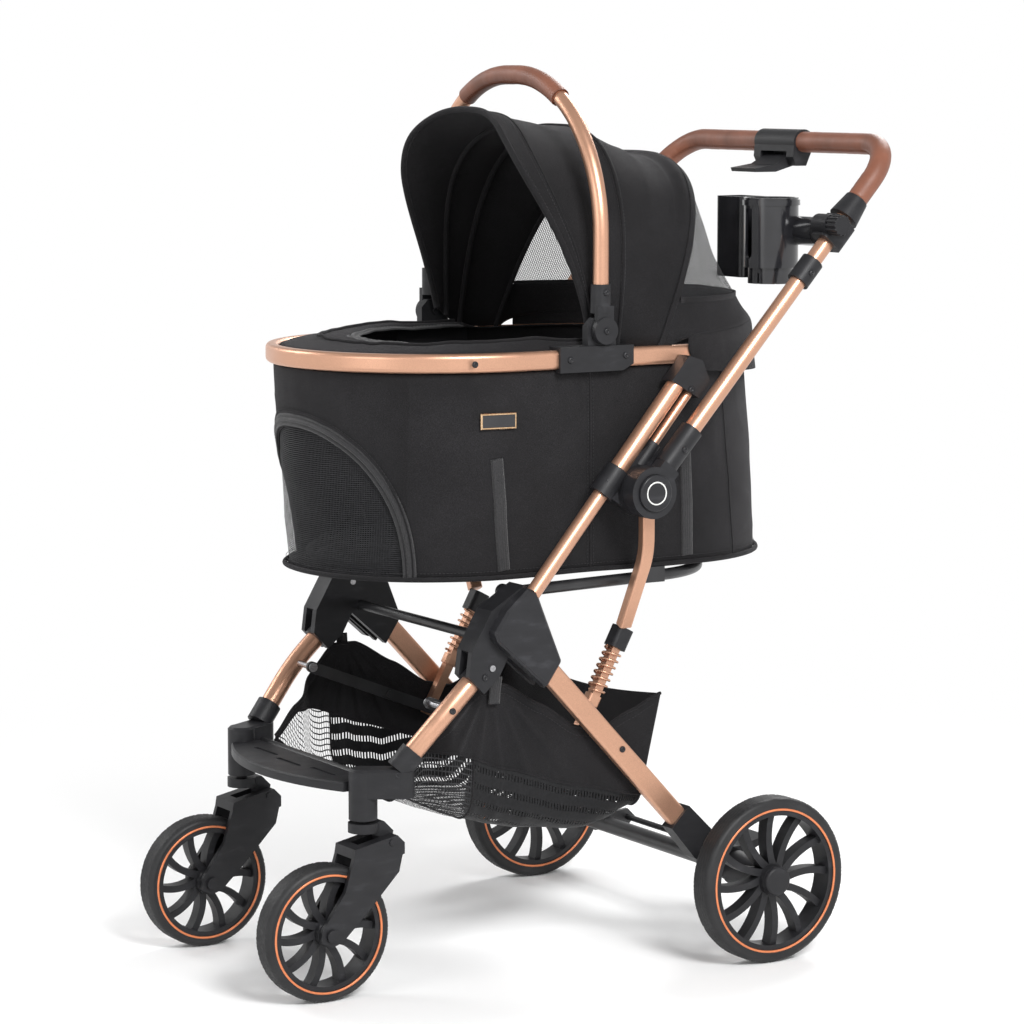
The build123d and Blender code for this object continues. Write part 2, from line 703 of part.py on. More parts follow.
with BuildPart() as handle_sleeves:
    add(hub_sleeve)
    add(upper_sleeve)
    with BuildSketch(line_plane(HANDLE_X, HUB, HANDLE_DIR, CAP_RANGE[0])):
        Circle(20)
    extrude(amount=CAP_RANGE[1] - CAP_RANGE[0], taper=8)
    add(handle_bar_solid, mode=Mode.SUBTRACT)
    mirror(about=Plane.YZ)
write(handle_sleeves, "handle_sleeves")

with BuildPart() as hub_button:
    add(button_disc)
    fillet(hub_button.faces().sort_by(Axis.X)[-1].edges(), 2.5)
write_pair(hub_button, "hub_button")


# Fold lever under the middle of the crossbar ---------------------------------------------
LEVER_PIVOT = (handle_top[0] - 4, handle_top[1] - 24)

with BuildPart() as lever_housing:
    with BuildSketch(side_plane(-LEVER_HALF)) as housing_face:
        with Locations(handle_top):
            Circle(17)
        with BuildLine():
            Polyline(
                (handle_top[0] - 16, handle_top[1]), (handle_top[0] - 18, handle_top[1] - 20),
                (handle_top[0] - 12, handle_top[1] - 32), (handle_top[0] + 4, handle_top[1] - 32),
                (handle_top[0] + 14, handle_top[1] - 10), close=True,
            )
        make_face()
        with Locations(handle_top):
            Circle(HANDLE_TUBE_R, mode=Mode.SUBTRACT)
    extrude(amount=2 * LEVER_HALF)
    with BuildSketch(side_plane(-30)):
        with BuildLine():
            Polyline(
                (handle_top[0] - 40, handle_top[1] - 12.5), (handle_top[0] + 6, handle_top[1] - 12.5),
                (handle_top[0] + 6, handle_top[1] - 50), (handle_top[0] - 40, handle_top[1] - 50),
                close=True,
            )
        make_face()
    extrude(amount=60, mode=Mode.SUBTRACT)
    with BuildSketch(side_plane(-40)):
        with Locations(LEVER_PIVOT):
            Circle(3)
    extrude(amount=80)
write(lever_housing, "lever_housing")

with BuildPart() as fold_lever:
    with BuildSketch(side_plane(-29)):
        with BuildLine():
            Polyline(
                (LEVER_PIVOT[0] + 6, LEVER_PIVOT[1] + 6), (LEVER_PIVOT[0] + 6, LEVER_PIVOT[1] - 6),
                (LEVER_PIVOT[0] - 30, LEVER_PIVOT[1] - 16), (LEVER_PIVOT[0] - 62, LEVER_PIVOT[1] - 16),
                (LEVER_PIVOT[0] - 64, LEVER_PIVOT[1] - 11), (LEVER_PIVOT[0] - 30, LEVER_PIVOT[1] - 6),
                (LEVER_PIVOT[0] - 8, LEVER_PIVOT[1] + 6), close=True,
            )
        make_face()
        with Locations(LEVER_PIVOT):
            Circle(3.2, mode=Mode.SUBTRACT)
    extrude(amount=58)
write(fold_lever, "fold_lever")


# Cup organiser on the left handle tube ---------------------------------------------------
CLAMP_S = 428.0
clamp_centre = along(HUB, HANDLE_DIR, CLAMP_S)
CUP_CENTRE = (152.0, 308.0)
CUP_R = 36.0
CUP_WELL_R = 32.0
CUP_Z = (867.0, 979.0)
FOOT_TOP_Z = 888.0            # the cup's narrower foot ends here
BOX_CENTRE = (88.0, 306.0)
BOX_SIZE = (64.0, 42.0)
BOX_WALL = 3.0
KNOB_REACH = 16.0             # screw axis in front of the handle tube
knob_centre = along(HUB, HANDLE_DIR, CLAMP_S, -KNOB_REACH)
clamp_arm = cross_bar(clamp_centre, 226, 234, 19)
screw_boss = cross_bar(knob_centre, 236, 266.5, 14)
screw_way = cross_bar(knob_centre, 250, 270, 4.3)

with BuildPart() as cup_clamp:
    with BuildSketch(line_plane(HANDLE_X, HUB, HANDLE_DIR, CLAMP_S - 18)) as clamp_face:
        Rectangle(34, 36)
        fillet(clamp_face.vertices(), 8)
    extrude(amount=36)
    add(clamp_arm)
    add(screw_boss)
    add(handle_bar_solid, mode=Mode.SUBTRACT)
    add(screw_way, mode=Mode.SUBTRACT)
write(cup_clamp, "cup_clamp")

screw_shank = cross_bar(knob_centre, 252, 268, 4)
with BuildPart() as clamp_knob:
    with BuildSketch(side_plane(HANDLE_X + 17.5)):
        with Locations(knob_centre):
            Circle(12)
            with PolarLocations(12, 14):
                Circle(1.6)
    extrude(amount=20)
    fillet(clamp_knob.faces().sort_by(Axis.X)[-1].edges(), 1)
    add(screw_shank)
write(clamp_knob, "clamp_knob")

organiser_arm = cross_bar(clamp_centre, CUP_CENTRE[0] + 6, 225, 19)
slot_way = round_bar(CUP_CENTRE[0], (CUP_CENTRE[1] - 20, CUP_Z[0] + 40), (-1, 0), 0, 30, 7)
with BuildPart() as cup_holder:
    with BuildSketch(Plane.XY.offset(FOOT_TOP_Z)):
        with Locations(CUP_CENTRE):
            Circle(CUP_R)
    extrude(amount=CUP_Z[1] - FOOT_TOP_Z)
    with BuildSketch(Plane.XY.offset(CUP_Z[0])):
        with Locations(CUP_CENTRE):
            Circle(CUP_R - 6)
    extrude(amount=FOOT_TOP_Z - CUP_Z[0])
    with BuildSketch(Plane.XY.offset(CUP_Z[0] + 6)) as box_face:
        with Locations(BOX_CENTRE):
            Rectangle(*BOX_SIZE)
        fillet(box_face.vertices(), 8)
    extrude(amount=CUP_Z[1] - CUP_Z[0] - 6)
    add(organiser_arm)
    with BuildSketch(Plane.XY.offset(CUP_Z[1] - 10)):
        with Locations(CUP_CENTRE):
            Circle(CUP_R + 2)
    extrude(amount=7)
    with BuildSketch(Plane.XY.offset(FOOT_TOP_Z + 4)):
        with Locations(CUP_CENTRE):
            Circle(CUP_WELL_R)
    extrude(amount=CUP_Z[1] - FOOT_TOP_Z, mode=Mode.SUBTRACT)
    with BuildSketch(Plane.XY.offset(CUP_Z[0] + 10)) as box_room:
        with Locations(BOX_CENTRE):
            Rectangle(BOX_SIZE[0] - 2 * BOX_WALL, BOX_SIZE[1] - 2 * BOX_WALL)
        fillet(box_room.vertices(), 5)
        with Locations(CUP_CENTRE):
            Circle(CUP_R - 0.5, mode=Mode.SUBTRACT)
    extrude(amount=CUP_Z[1] - CUP_Z[0], mode=Mode.SUBTRACT)
    with BuildSketch(Plane.XY.offset(CUP_Z[0] - 1)):
        with Locations(CUP_CENTRE):
            with PolarLocations(CUP_R - 6, 8, start_angle=22.5):
                Rectangle(8, 2.6)
    extrude(amount=15, mode=Mode.SUBTRACT)
    add(slot_way, mode=Mode.SUBTRACT)
    with BuildSketch(Plane.XY.offset(CUP_Z[0] + 40)):
        with Locations((CUP_CENTRE[0], CUP_CENTRE[1] - 34)):
            Rectangle(14, 20)
    extrude(amount=58, mode=Mode.SUBTRACT)
write(cup_holder, "cup_holder")


# Seat frame under the bassinet -----------------------------------------------------------
with BuildPart() as seat_frame:
    with BuildLine() as seat_run:
        FilletPolyline(
            (178, -112, 492), (178, 228, SEAT_Z), (-178, 228, SEAT_Z), (-178, -112, 492), radius=110,
        )
    with BuildSketch(Plane(origin=seat_run.line @ 0, z_dir=seat_run.line % 0)):
        Circle(7.5)
    sweep()
    for x0 in (-186, 166):
        with BuildSketch(side_plane(x0)):
            with Locations((-112, 492)):
                Circle(10)
        extrude(amount=20)
    with BuildSketch(Plane.XY.offset(490)):
        with Locations((178, 104), (-178, 104)):
            Rectangle(20, 32)
    extrude(amount=20)
write(seat_frame, "seat_frame")


# Storage basket --------------------------------------------------------------------------
BASKET_OUT = [
    (-268, 290), (-266, 236), (-200, 206), (-60, 184), (60, 186), (110, 200),
    (120, 349), (20, 300), (-40, 318), (-128, 372), (-158, 372), (-230, 318),
]
BASKET_ROOM = [
    (-263, 420), (-262, 239), (-198, 210), (-60, 188), (58, 190), (106, 203), (116, 420),
]
brace_pin = cross_bar(BRACE_FRONT, BRACE_X - 6, 206, 4)
BASKET_HALF = 191.0
BASKET_WALL = 2.5
basket_block = outline(BASKET_OUT, -BASKET_HALF, BASKET_HALF)
basket_room = outline(BASKET_ROOM, BASKET_WALL - BASKET_HALF, BASKET_HALF - BASKET_WALL)
basket_notch = outline([(-300, 200), (-212, 200), (-212, 420), (-300, 420)], 168, 194)
pin_way = cross_bar(BRACE_FRONT, 159, 206, 6)

with BuildPart() as storage_basket:
    add(basket_block)
    add(basket_room, mode=Mode.SUBTRACT)
    add(basket_notch, mode=Mode.SUBTRACT)
    add(mirror(basket_notch, about=Plane.YZ, mode=Mode.PRIVATE), mode=Mode.SUBTRACT)
    add(pin_way, mode=Mode.SUBTRACT)
    add(mirror(pin_way, about=Plane.YZ, mode=Mode.PRIVATE), mode=Mode.SUBTRACT)
write(storage_basket, "storage_basket")


# Rivets and pins of the frame ------------------------------------------------------------
brace_washer = cross_bar(BRACE_FRONT, BRACE_X - 8, BRACE_X - 5, 6)
cover_rivet = cross_bar((-160, 406), PLATE_OUT[1], 224.5, 4)
with BuildPart() as frame_rivets:
    add(crossing_pin)
    add(brace_pin)
    add(brace_washer)
    add(front_leg.part, mode=Mode.SUBTRACT)
    add(cover_rivet)
    mirror(about=Plane.YZ)
write(frame_rivets, "frame_rivets")


# Bassinet: rim, fabric shell, mattress, brackets -----------------------------------------
def stadium(half, y0, y1):
    """A long round-ended outline across the stroller, drawn in the current sketch."""
    with Locations((0, (y0 + y1) / 2)):
        SlotOverall(y1 - y0, 2 * half, rotation=90)


with BuildPart() as bassinet_rim:
    with BuildSketch(Plane.XY.offset(RIM_Z[0])):
        stadium(RIM_HALF, *RIM_Y)
        rim_gap = 2 * RIM_WIDE
        with Locations((0, (RIM_Y[0] + RIM_Y[1]) / 2)):
            SlotOverall(
                RIM_Y[1] - RIM_Y[0] - rim_gap, 2 * RIM_HALF - rim_gap, rotation=90, mode=Mode.SUBTRACT
            )
    extrude(amount=RIM_Z[1] - RIM_Z[0])
    fillet(bassinet_rim.edges().filter_by(GeomType.LINE, reverse=True), 6)
write(bassinet_rim, "bassinet_rim")

SHELL_TOP = (206.0, -321.0, 325.0)
SHELL_BASE = (180.0, -306.0, 350.0)
with BuildPart() as bassinet_shell:
    with BuildSketch(Plane.XY.offset(SHELL_FLOOR_Z)):
        stadium(*SHELL_BASE)
    with BuildSketch(Plane.XY.offset(RIM_Z[0] - 0.5)):
        stadium(*SHELL_TOP)
    loft()
    with BuildSketch(Plane.XY.offset(SHELL_FLOOR_Z + 6)):
        stadium(SHELL_BASE[0] - 4, SHELL_BASE[1] + 4, SHELL_BASE[2] - 4)
    with BuildSketch(Plane.XY.offset(RIM_Z[0] + 1)):
        stadium(SHELL_TOP[0] - 4, SHELL_TOP[1] + 4, SHELL_TOP[2] - 4)
    loft(mode=Mode.SUBTRACT)
write(bassinet_shell, "bassinet_shell")

with BuildPart() as bassinet_pad:
    with BuildSketch(Plane.XY.offset(SHELL_FLOOR_Z + 6.5)):
        stadium(SHELL_BASE[0] - 10, SHELL_BASE[1] + 11, SHELL_BASE[2] - 12)
    extrude(amount=26)
    fillet(bassinet_pad.faces().sort_by(Axis.Z)[-1].edges(), 9)
write(bassinet_pad, "bassinet_pad")

rim_sleeve = outline([(-59, 769), (-59, 801), (50, 801), (50, 777), (34, 769)], 194, 220)
with BuildPart() as rim_room_maker:
    with BuildSketch(Plane.XY.offset(RIM_Z[0])):
        with Locations((RIM_HALF - RIM_WIDE / 2, 0)):
            Rectangle(RIM_WIDE, 160)
    extrude(amount=RIM_Z[1] - RIM_Z[0])
bail_ear = outline([(-16, 800), (-16, 826), (-6, 836), (14, 836), (24, 828), (26, 800)], 203, 216)
bail_pin = cross_bar(BAIL_PIVOT, 199, 226, 4)
rim_passage = outline([(-70, 760), (-70, RIM_Z[0]), (60, RIM_Z[0]), (60, 760)], 190, 208)

with BuildPart() as rim_brackets:
    add(rim_sleeve)
    add(bail_ear)
    add(rim_room_maker.part, mode=Mode.SUBTRACT)
    add(rim_passage, mode=Mode.SUBTRACT)
    add(bail_pin)
    mirror(about=Plane.YZ)
write(rim_brackets, "rim_brackets")


# Bail: arched carrying handle ------------------------------------------------------------
BAIL_X = 212.6
BAIL_TOP = 1138.0
BAIL_BEND = 200.0
BAIL_R = 10.0

with BuildPart() as bail_tube:
    with BuildLine() as bail_run:
        FilletPolyline(
            (BAIL_X, BAIL_PIVOT[0], 852), (BAIL_X, BAIL_PIVOT[0], BAIL_TOP),
            (-BAIL_X, BAIL_PIVOT[0], BAIL_TOP), (-BAIL_X, BAIL_PIVOT[0], 852), radius=BAIL_BEND,
        )
    with BuildSketch(Plane.XY.offset(852)):
        with Locations((BAIL_X, BAIL_PIVOT[0])):
            Circle(BAIL_R)
            Circle(BAIL_R - 1.5, mode=Mode.SUBTRACT)
    sweep()
write(bail_tube, "bail_tube")

GRIP_TURN = 31.0
with BuildPart() as bail_grip:
    with BuildLine() as bail_grip_run:
        half_flat = BAIL_X - BAIL_BEND
        crown = Line((0, BAIL_PIVOT[0], BAIL_TOP), (half_flat, BAIL_PIVOT[0], BAIL_TOP))
        centre = (half_flat, BAIL_PIVOT[0], BAIL_TOP - BAIL_BEND)
        a = radians(GRIP_TURN)
        ThreePointArc(
            crown @ 1,
            (centre[0] + BAIL_BEND * sin(a / 2), centre[1], centre[2] + BAIL_BEND * cos(a / 2)),
            (centre[0] + BAIL_BEND * sin(a), centre[1], centre[2] + BAIL_BEND * cos(a)),
        )
    with BuildSketch(Plane(origin=(0, BAIL_PIVOT[0], BAIL_TOP), z_dir=(1, 0, 0))):
        Circle(12.5)
        Circle(BAIL_R + 0.1, mode=Mode.SUBTRACT)
    sweep()
    mirror(about=Plane.YZ)
write(bail_grip, "bail_grip")

bail_foot_way = round_bar(BAIL_X, (BAIL_PIVOT[0], 852), (0, 1), 0, 60, BAIL_R)
bail_disc = cross_bar(BAIL_PIVOT, 217, 227, 17)
bail_socket = round_bar(BAIL_X, (BAIL_PIVOT[0], 842), (0, 1), 0, 36, 13)
bail_pin_way = cross_bar(BAIL_PIVOT, 199, 230, 4.2)
with BuildPart() as bail_joints:
    add(bail_socket)
    add(bail_disc)
    with BuildSketch(side_plane(217)):
        with Locations((BAIL_PIVOT[0], 836)):
            Rectangle(24, 30)
    extrude(amount=8)
    add(bail_foot_way, mode=Mode.SUBTRACT)
    add(bail_pin_way, mode=Mode.SUBTRACT)
    mirror(about=Plane.YZ)
write(bail_joints, "bail_joints")


# Canopy: two nested shells turning about the same axis -----------------------------------
ARCH = [(0.98, 0.07), (0.955, 0.46), (0.75, 0.80), (0.40, 0.955), (0, 1)]
CANOPY_HALF = 196.0


def canopy_shell(name, radius, half, from_turn, sweep_turn):
    """A curved fabric shell: an arch turned about the canopy's axis; 0 degrees is rearwards."""
    turn = radians(from_turn)
    plane = Plane(origin=at_x(0, CANOPY_PIVOT), x_dir=(1, 0, 0), z_dir=(0, -sin(turn), cos(turn)))
    outer = [(half * a, radius * b) for a, b in ARCH]
    inner = [((half - 3) * a, (radius - 3) * b) for a, b in ARCH]
    outer_all = outer + [(-x, y) for x, y in outer[-2::-1]]
    inner_all = inner + [(-x, y) for x, y in inner[-2::-1]]
    with BuildPart() as shell:
        with BuildSketch(plane):
            with BuildLine():
                Spline(*outer_all)
                Spline(*inner_all)
                Line(outer_all[0], inner_all[0])
                Line(outer_all[-1], inner_all[-1])
            make_face()
        revolve(axis=Axis(at_x(0, CANOPY_PIVOT), (1, 0, 0)), revolution_arc=sweep_turn)
    write(shell, name)


canopy_shell("canopy_rear", CANOPY_R + 5, CANOPY_HALF + 3, 4, 56)
canopy_shell("canopy_front", CANOPY_R, CANOPY_HALF - 2, 61, 48)
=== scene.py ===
import math

import bpy
from bpy.props import FloatProperty, FloatVectorProperty, PointerProperty
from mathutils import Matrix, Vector, noise


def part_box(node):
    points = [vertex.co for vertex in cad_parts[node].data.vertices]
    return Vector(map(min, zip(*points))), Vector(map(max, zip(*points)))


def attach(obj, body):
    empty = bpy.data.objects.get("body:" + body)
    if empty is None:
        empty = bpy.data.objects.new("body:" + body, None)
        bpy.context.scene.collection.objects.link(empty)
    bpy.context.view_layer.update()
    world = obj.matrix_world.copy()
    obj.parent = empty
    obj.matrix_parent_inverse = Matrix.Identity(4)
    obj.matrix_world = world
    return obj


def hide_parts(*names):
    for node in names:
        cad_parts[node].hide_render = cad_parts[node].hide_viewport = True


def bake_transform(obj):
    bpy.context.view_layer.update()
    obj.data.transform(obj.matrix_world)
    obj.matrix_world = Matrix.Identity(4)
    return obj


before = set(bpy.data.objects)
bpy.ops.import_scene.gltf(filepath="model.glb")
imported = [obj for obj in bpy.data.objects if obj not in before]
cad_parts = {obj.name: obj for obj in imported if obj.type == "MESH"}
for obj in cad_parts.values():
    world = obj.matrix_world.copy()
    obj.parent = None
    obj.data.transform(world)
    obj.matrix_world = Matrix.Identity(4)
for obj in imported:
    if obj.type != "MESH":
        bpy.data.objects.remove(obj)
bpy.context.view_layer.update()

bl_info = {
    "name": "Pet stroller soft goods and finishes",
    "version": (1, 0, 0),
    "blender": (4, 5, 0),
    "location": "3D View > Sidebar > Stroller",
    "description": "Sews the cabin, canopy and basket onto the stroller's frame and paints every part",
    "category": "Object",
}

MM = 0.001


# Settings ---------------------------------------------------------------------------------
class StrollerFinishes(bpy.types.PropertyGroup):
    """Colours that the maker offers."""

    frame_metal: FloatVectorProperty(
        name="Frame metal", description="Anodised tube colour", subtype="COLOR",
        size=3, min=0, max=1, default=(0.62, 0.35, 0.235))
    moulding: FloatVectorProperty(
        name="Moulded plastic", description="Matte joints, forks and wheels", subtype="COLOR",
        size=3, min=0, max=1, default=(0.016, 0.016, 0.018))
    cloth: FloatVectorProperty(
        name="Oxford cloth", description="Cabin, canopy and basket", subtype="COLOR",
        size=3, min=0, max=1, default=(0.013, 0.0125, 0.0135))
    hide: FloatVectorProperty(
        name="Grip leather", description="Push bar and carrying handle", subtype="COLOR",
        size=3, min=0, max=1, default=(0.190, 0.070, 0.040))
    ring: FloatVectorProperty(
        name="Wheel ring", description="Copper line round each rim", subtype="COLOR",
        size=3, min=0, max=1, default=(0.70, 0.22, 0.09))


class StrollerSewing(bpy.types.PropertyGroup):
    """Sizes that a sewer would change."""

    cloth_thickness: FloatProperty(
        name="Cloth thickness", description="Coated oxford with its lining",
        default=1.6 * MM, unit="LENGTH")
    piping: FloatProperty(
        name="Piping radius", description="Corded edge of cabin and canopy",
        default=3.2 * MM, unit="LENGTH")
    thread_pitch: FloatProperty(
        name="Thread pitch", description="Distance between threads of the weave",
        default=0.9 * MM, unit="LENGTH")
    net_pitch: FloatProperty(
        name="Net pitch", description="Distance between holes of the see-through net",
        default=2.6 * MM, unit="LENGTH")
    crease_depth: FloatProperty(
        name="Crease depth", description="How far loose cloth creases",
        default=2.2 * MM, unit="LENGTH")
    mattress_swell: FloatProperty(
        name="Mattress swell", description="The most that the filling may push the cover out",
        default=7 * MM, unit="LENGTH")


class StrollerWheels(bpy.types.PropertyGroup):
    """Tread and trim of the wheels."""

    tread_depth: FloatProperty(
        name="Tread depth", description="Height of the diamonds", default=0.9 * MM, unit="LENGTH")
    ring_width: FloatProperty(
        name="Ring width", description="Width of the copper ring", default=2.8 * MM, unit="LENGTH")


def finishes():
    return bpy.context.scene.stroller_finishes


def sewing():
    return bpy.context.scene.stroller_sewing


# Meshes -----------------------------------------------------------------------------------
def make_piece(name, points, faces, finish, smooth=True, flat=None):
    """A new mesh object; flat holds each point's place on the cut cloth, in metres."""
    mesh = bpy.data.meshes.new(name)
    mesh.from_pydata([tuple(p) for p in points], [], faces)
    if flat is not None:
        layer = mesh.uv_layers.new(name="cloth")
        for loop in mesh.loops:
            layer.data[loop.index].uv = flat[loop.vertex_index]
    mesh.materials.append(finish)
    for polygon in mesh.polygons:
        polygon.use_smooth = smooth
    mesh.validate()
    piece = bpy.data.objects.new(name, mesh)
    bpy.context.scene.collection.objects.link(piece)
    return piece


def sheet_mesh(name, rows, finish, closed=False):
    """A sheet through rows of points, with its cloth coordinates measured along it."""
    columns = len(rows[0])
    points = [p for row in rows for p in row]
    faces = []
    for i in range(len(rows) - 1):
        for j in range(columns if closed else columns - 1):
            k = (j + 1) % columns
            faces.append((i * columns + j, i * columns + k, (i + 1) * columns + k, (i + 1) * columns + j))
    middle = rows[len(rows) // 2]
    across = [0.0]
    for a, b in zip(middle, middle[1:]):
        across.append(across[-1] + (Vector(b) - Vector(a)).length)
    flat = []
    down = [0.0] * columns
    for i, row in enumerate(rows):
        for j, p in enumerate(row):
            if i:
                down[j] += (Vector(p) - Vector(rows[i - 1][j])).length
            flat.append((across[j], down[j]))
    return make_piece(name, points, faces, finish, flat=flat)


def freeze(piece):
    """Puts what the modifiers make into the mesh, and takes them off."""
    graph = bpy.context.evaluated_depsgraph_get()
    made = bpy.data.meshes.new_from_object(piece.evaluated_get(graph))
    piece.modifiers.clear()
    piece.data = made
    return piece


def thicken(piece, thickness, offset=-1.0):
    """Gives a sheet its thickness; offset -1 puts it behind the outer face."""
    solid = piece.modifiers.new("thickness", "SOLIDIFY")
    solid.thickness = thickness
    solid.offset = offset
    return freeze(piece)


def round_section(radius, sides=10):
    return [(radius * math.cos(2 * math.pi * i / sides), radius * math.sin(2 * math.pi * i / sides))
            for i in range(sides)]


def path_frames(path, outward=None, closed=False):
    """Tangent, side and outward directions along a path."""
    count = len(path)
    frames = []
    up = None
    for i in range(count):
        before = path[i - 1] if i or closed else path[0]
        after = path[(i + 1) % count] if i < count - 1 or closed else path[-1]
        tangent = (Vector(after) - Vector(before)).normalized()
        if outward is not None:
            up = Vector(outward[i])
        elif up is None:
            up = Vector((0, 0, 1)) if abs(tangent.z) < 0.9 else Vector((1, 0, 0))
        up = (up - tangent * up.dot(tangent)).normalized()
        frames.append((tangent, up.cross(tangent), up))
    return frames


def sweep_piece(name, path, section, finish, outward=None, closed=False, caps=True):
    """A closed section swept along a path. A section may be a function of the step."""
    frames = path_frames(path, outward, closed)
    points = []
    size = 0
    for i, (place, (_, side, up)) in enumerate(zip(path, frames)):
        here = section(i) if callable(section) else section
        size = len(here)
        points += [Vector(place) + side * a + up * b for a, b in here]
    faces = []
    steps = len(path)
    for i in range(steps if closed else steps - 1):
        k = (i + 1) % steps
        for j in range(size):
            m = (j + 1) % size
            faces.append((i * size + j, i * size + m, k * size + m, k * size + j))
    if caps and not closed:
        faces.append(tuple(range(size)))
        faces.append(tuple((steps - 1) * size + j for j in reversed(range(size))))
    along = [0.0]
    for a, b in zip(path, path[1:]):
        along.append(along[-1] + (Vector(b) - Vector(a)).length)
    girth = sum(
        math.dist(here[j], here[(j + 1) % size]) for j in range(size))
    flat = [(along[i], girth * j / size) for i in range(steps) for j in range(size)]
    return make_piece(name, points, faces, finish, flat=flat)


def lathe_piece(name, axle, outline, steps, finish, axis="X"):
    """A closed (along, radius) outline turned about an axle."""
    points = []
    size = len(outline)
    for i in range(steps):
        a = 2 * math.pi * i / steps
        for x, r in outline:
            if axis == "X":
                points.append(Vector(axle) + Vector((x, r * math.cos(a), r * math.sin(a))))
            else:
                points.append(Vector(axle) + Vector((r * math.cos(a), r * math.sin(a), x)))
    faces = []
    for i in range(steps):
        k = (i + 1) % steps
        for j in range(size):
            m = (j + 1) % size
            faces.append((i * size + j, k * size + j, k * size + m, i * size + m))
    piece = make_piece(name, points, faces, finish)
    settle_normals(piece)
    return piece


def settle_normals(piece):
    """Turns every face of a closed mesh outwards."""
    bpy.context.view_layer.objects.active = piece
    bpy.ops.object.select_all(action="DESELECT")
    piece.select_set(True)
    bpy.ops.object.mode_set(mode="EDIT")
    bpy.ops.mesh.select_all(action="SELECT")
    bpy.ops.mesh.normals_make_consistent(inside=False)
    bpy.ops.object.mode_set(mode="OBJECT")


def join_pieces(name, pieces):
    """Makes one piece of several that move together."""
    bpy.ops.object.select_all(action="DESELECT")
    for piece in pieces:
        piece.select_set(True)
    bpy.context.view_layer.objects.active = pieces[0]
    bpy.ops.object.join()
    whole = bpy.context.view_layer.objects.active
    whole.name = name
    whole.data.name = name
    return whole


def filleted(corners, radius, step):
    """Points along straight runs joined by arcs."""
    path = [Vector(corners[0])]
    for before, corner, after in zip(corners, corners[1:], corners[2:]):
        a = (Vector(before) - Vector(corner)).normalized()
        b = (Vector(after) - Vector(corner)).normalized()
        half = a.angle(b) / 2
        reach = radius / math.tan(half)
        centre = Vector(corner) + (a + b).normalized() * radius / math.sin(half)
        start = Vector(corner) + a * reach - centre
        end = Vector(corner) + b * reach - centre
        turn = start.angle(end)
        count = max(3, int(radius * turn / step))
        for i in range(count + 1):
            f = i / count
            arc = (start * math.sin((1 - f) * turn) + end * math.sin(f * turn)) / math.sin(turn)
            path.append(centre + arc)
    path.append(Vector(corners[-1]))
    return evened(path, step)


def evened(path, step):
    """The same line with points about a step apart."""
    lengths = [0.0]
    for a, b in zip(path, path[1:]):
        lengths.append(lengths[-1] + (Vector(b) - Vector(a)).length)
    count = max(2, round(lengths[-1] / step))
    result = []
    k = 0
    for i in range(count + 1):
        s = lengths[-1] * i / count
        while k < len(lengths) - 2 and lengths[k + 1] < s:
            k += 1
        span = max(lengths[k + 1] - lengths[k], 1e-9)
        result.append(Vector(path[k]).lerp(Vector(path[k + 1]), (s - lengths[k]) / span))
    return result


def smoothstep(low, high, x):
    t = min(1.0, max(0.0, (x - low) / (high - low)))
    return t * t * (3 - 2 * t)


def stitch_row(name, path, outward, finish, stitch=3.2 * MM, gap=1.6 * MM, thread=0.35 * MM):
    """Running stitches: short rounded threads that lie along a seam."""
    path_even = evened(path, stitch + gap)
    frames = path_frames(path_even, [Vector(outward[min(len(outward) - 1, round(
        i * (len(outward) - 1) / (len(path_even) - 1)))]) for i in range(len(path_even))])
    points, faces = [], []
    ring = round_section(thread, 6)
    for place, (tangent, side, up) in zip(path_even[:-1], frames):
        base = len(points)
        for f, swell in ((0.0, 0.3), (0.2, 1.0), (0.8, 1.0), (1.0, 0.3)):
            centre = Vector(place) + tangent * stitch * f + up * thread * 0.6
            points += [centre + side * a * swell + up * b * swell for a, b in ring]
        for i in range(3):
            for j in range(6):
                k = (j + 1) % 6
                faces.append((base + i * 6 + j, base + i * 6 + k,
                              base + (i + 1) * 6 + k, base + (i + 1) * 6 + j))
        faces.append(tuple(base + j for j in range(6)))
        faces.append(tuple(base + 18 + j for j in reversed(range(6))))
    return make_piece(name, points, faces, finish)


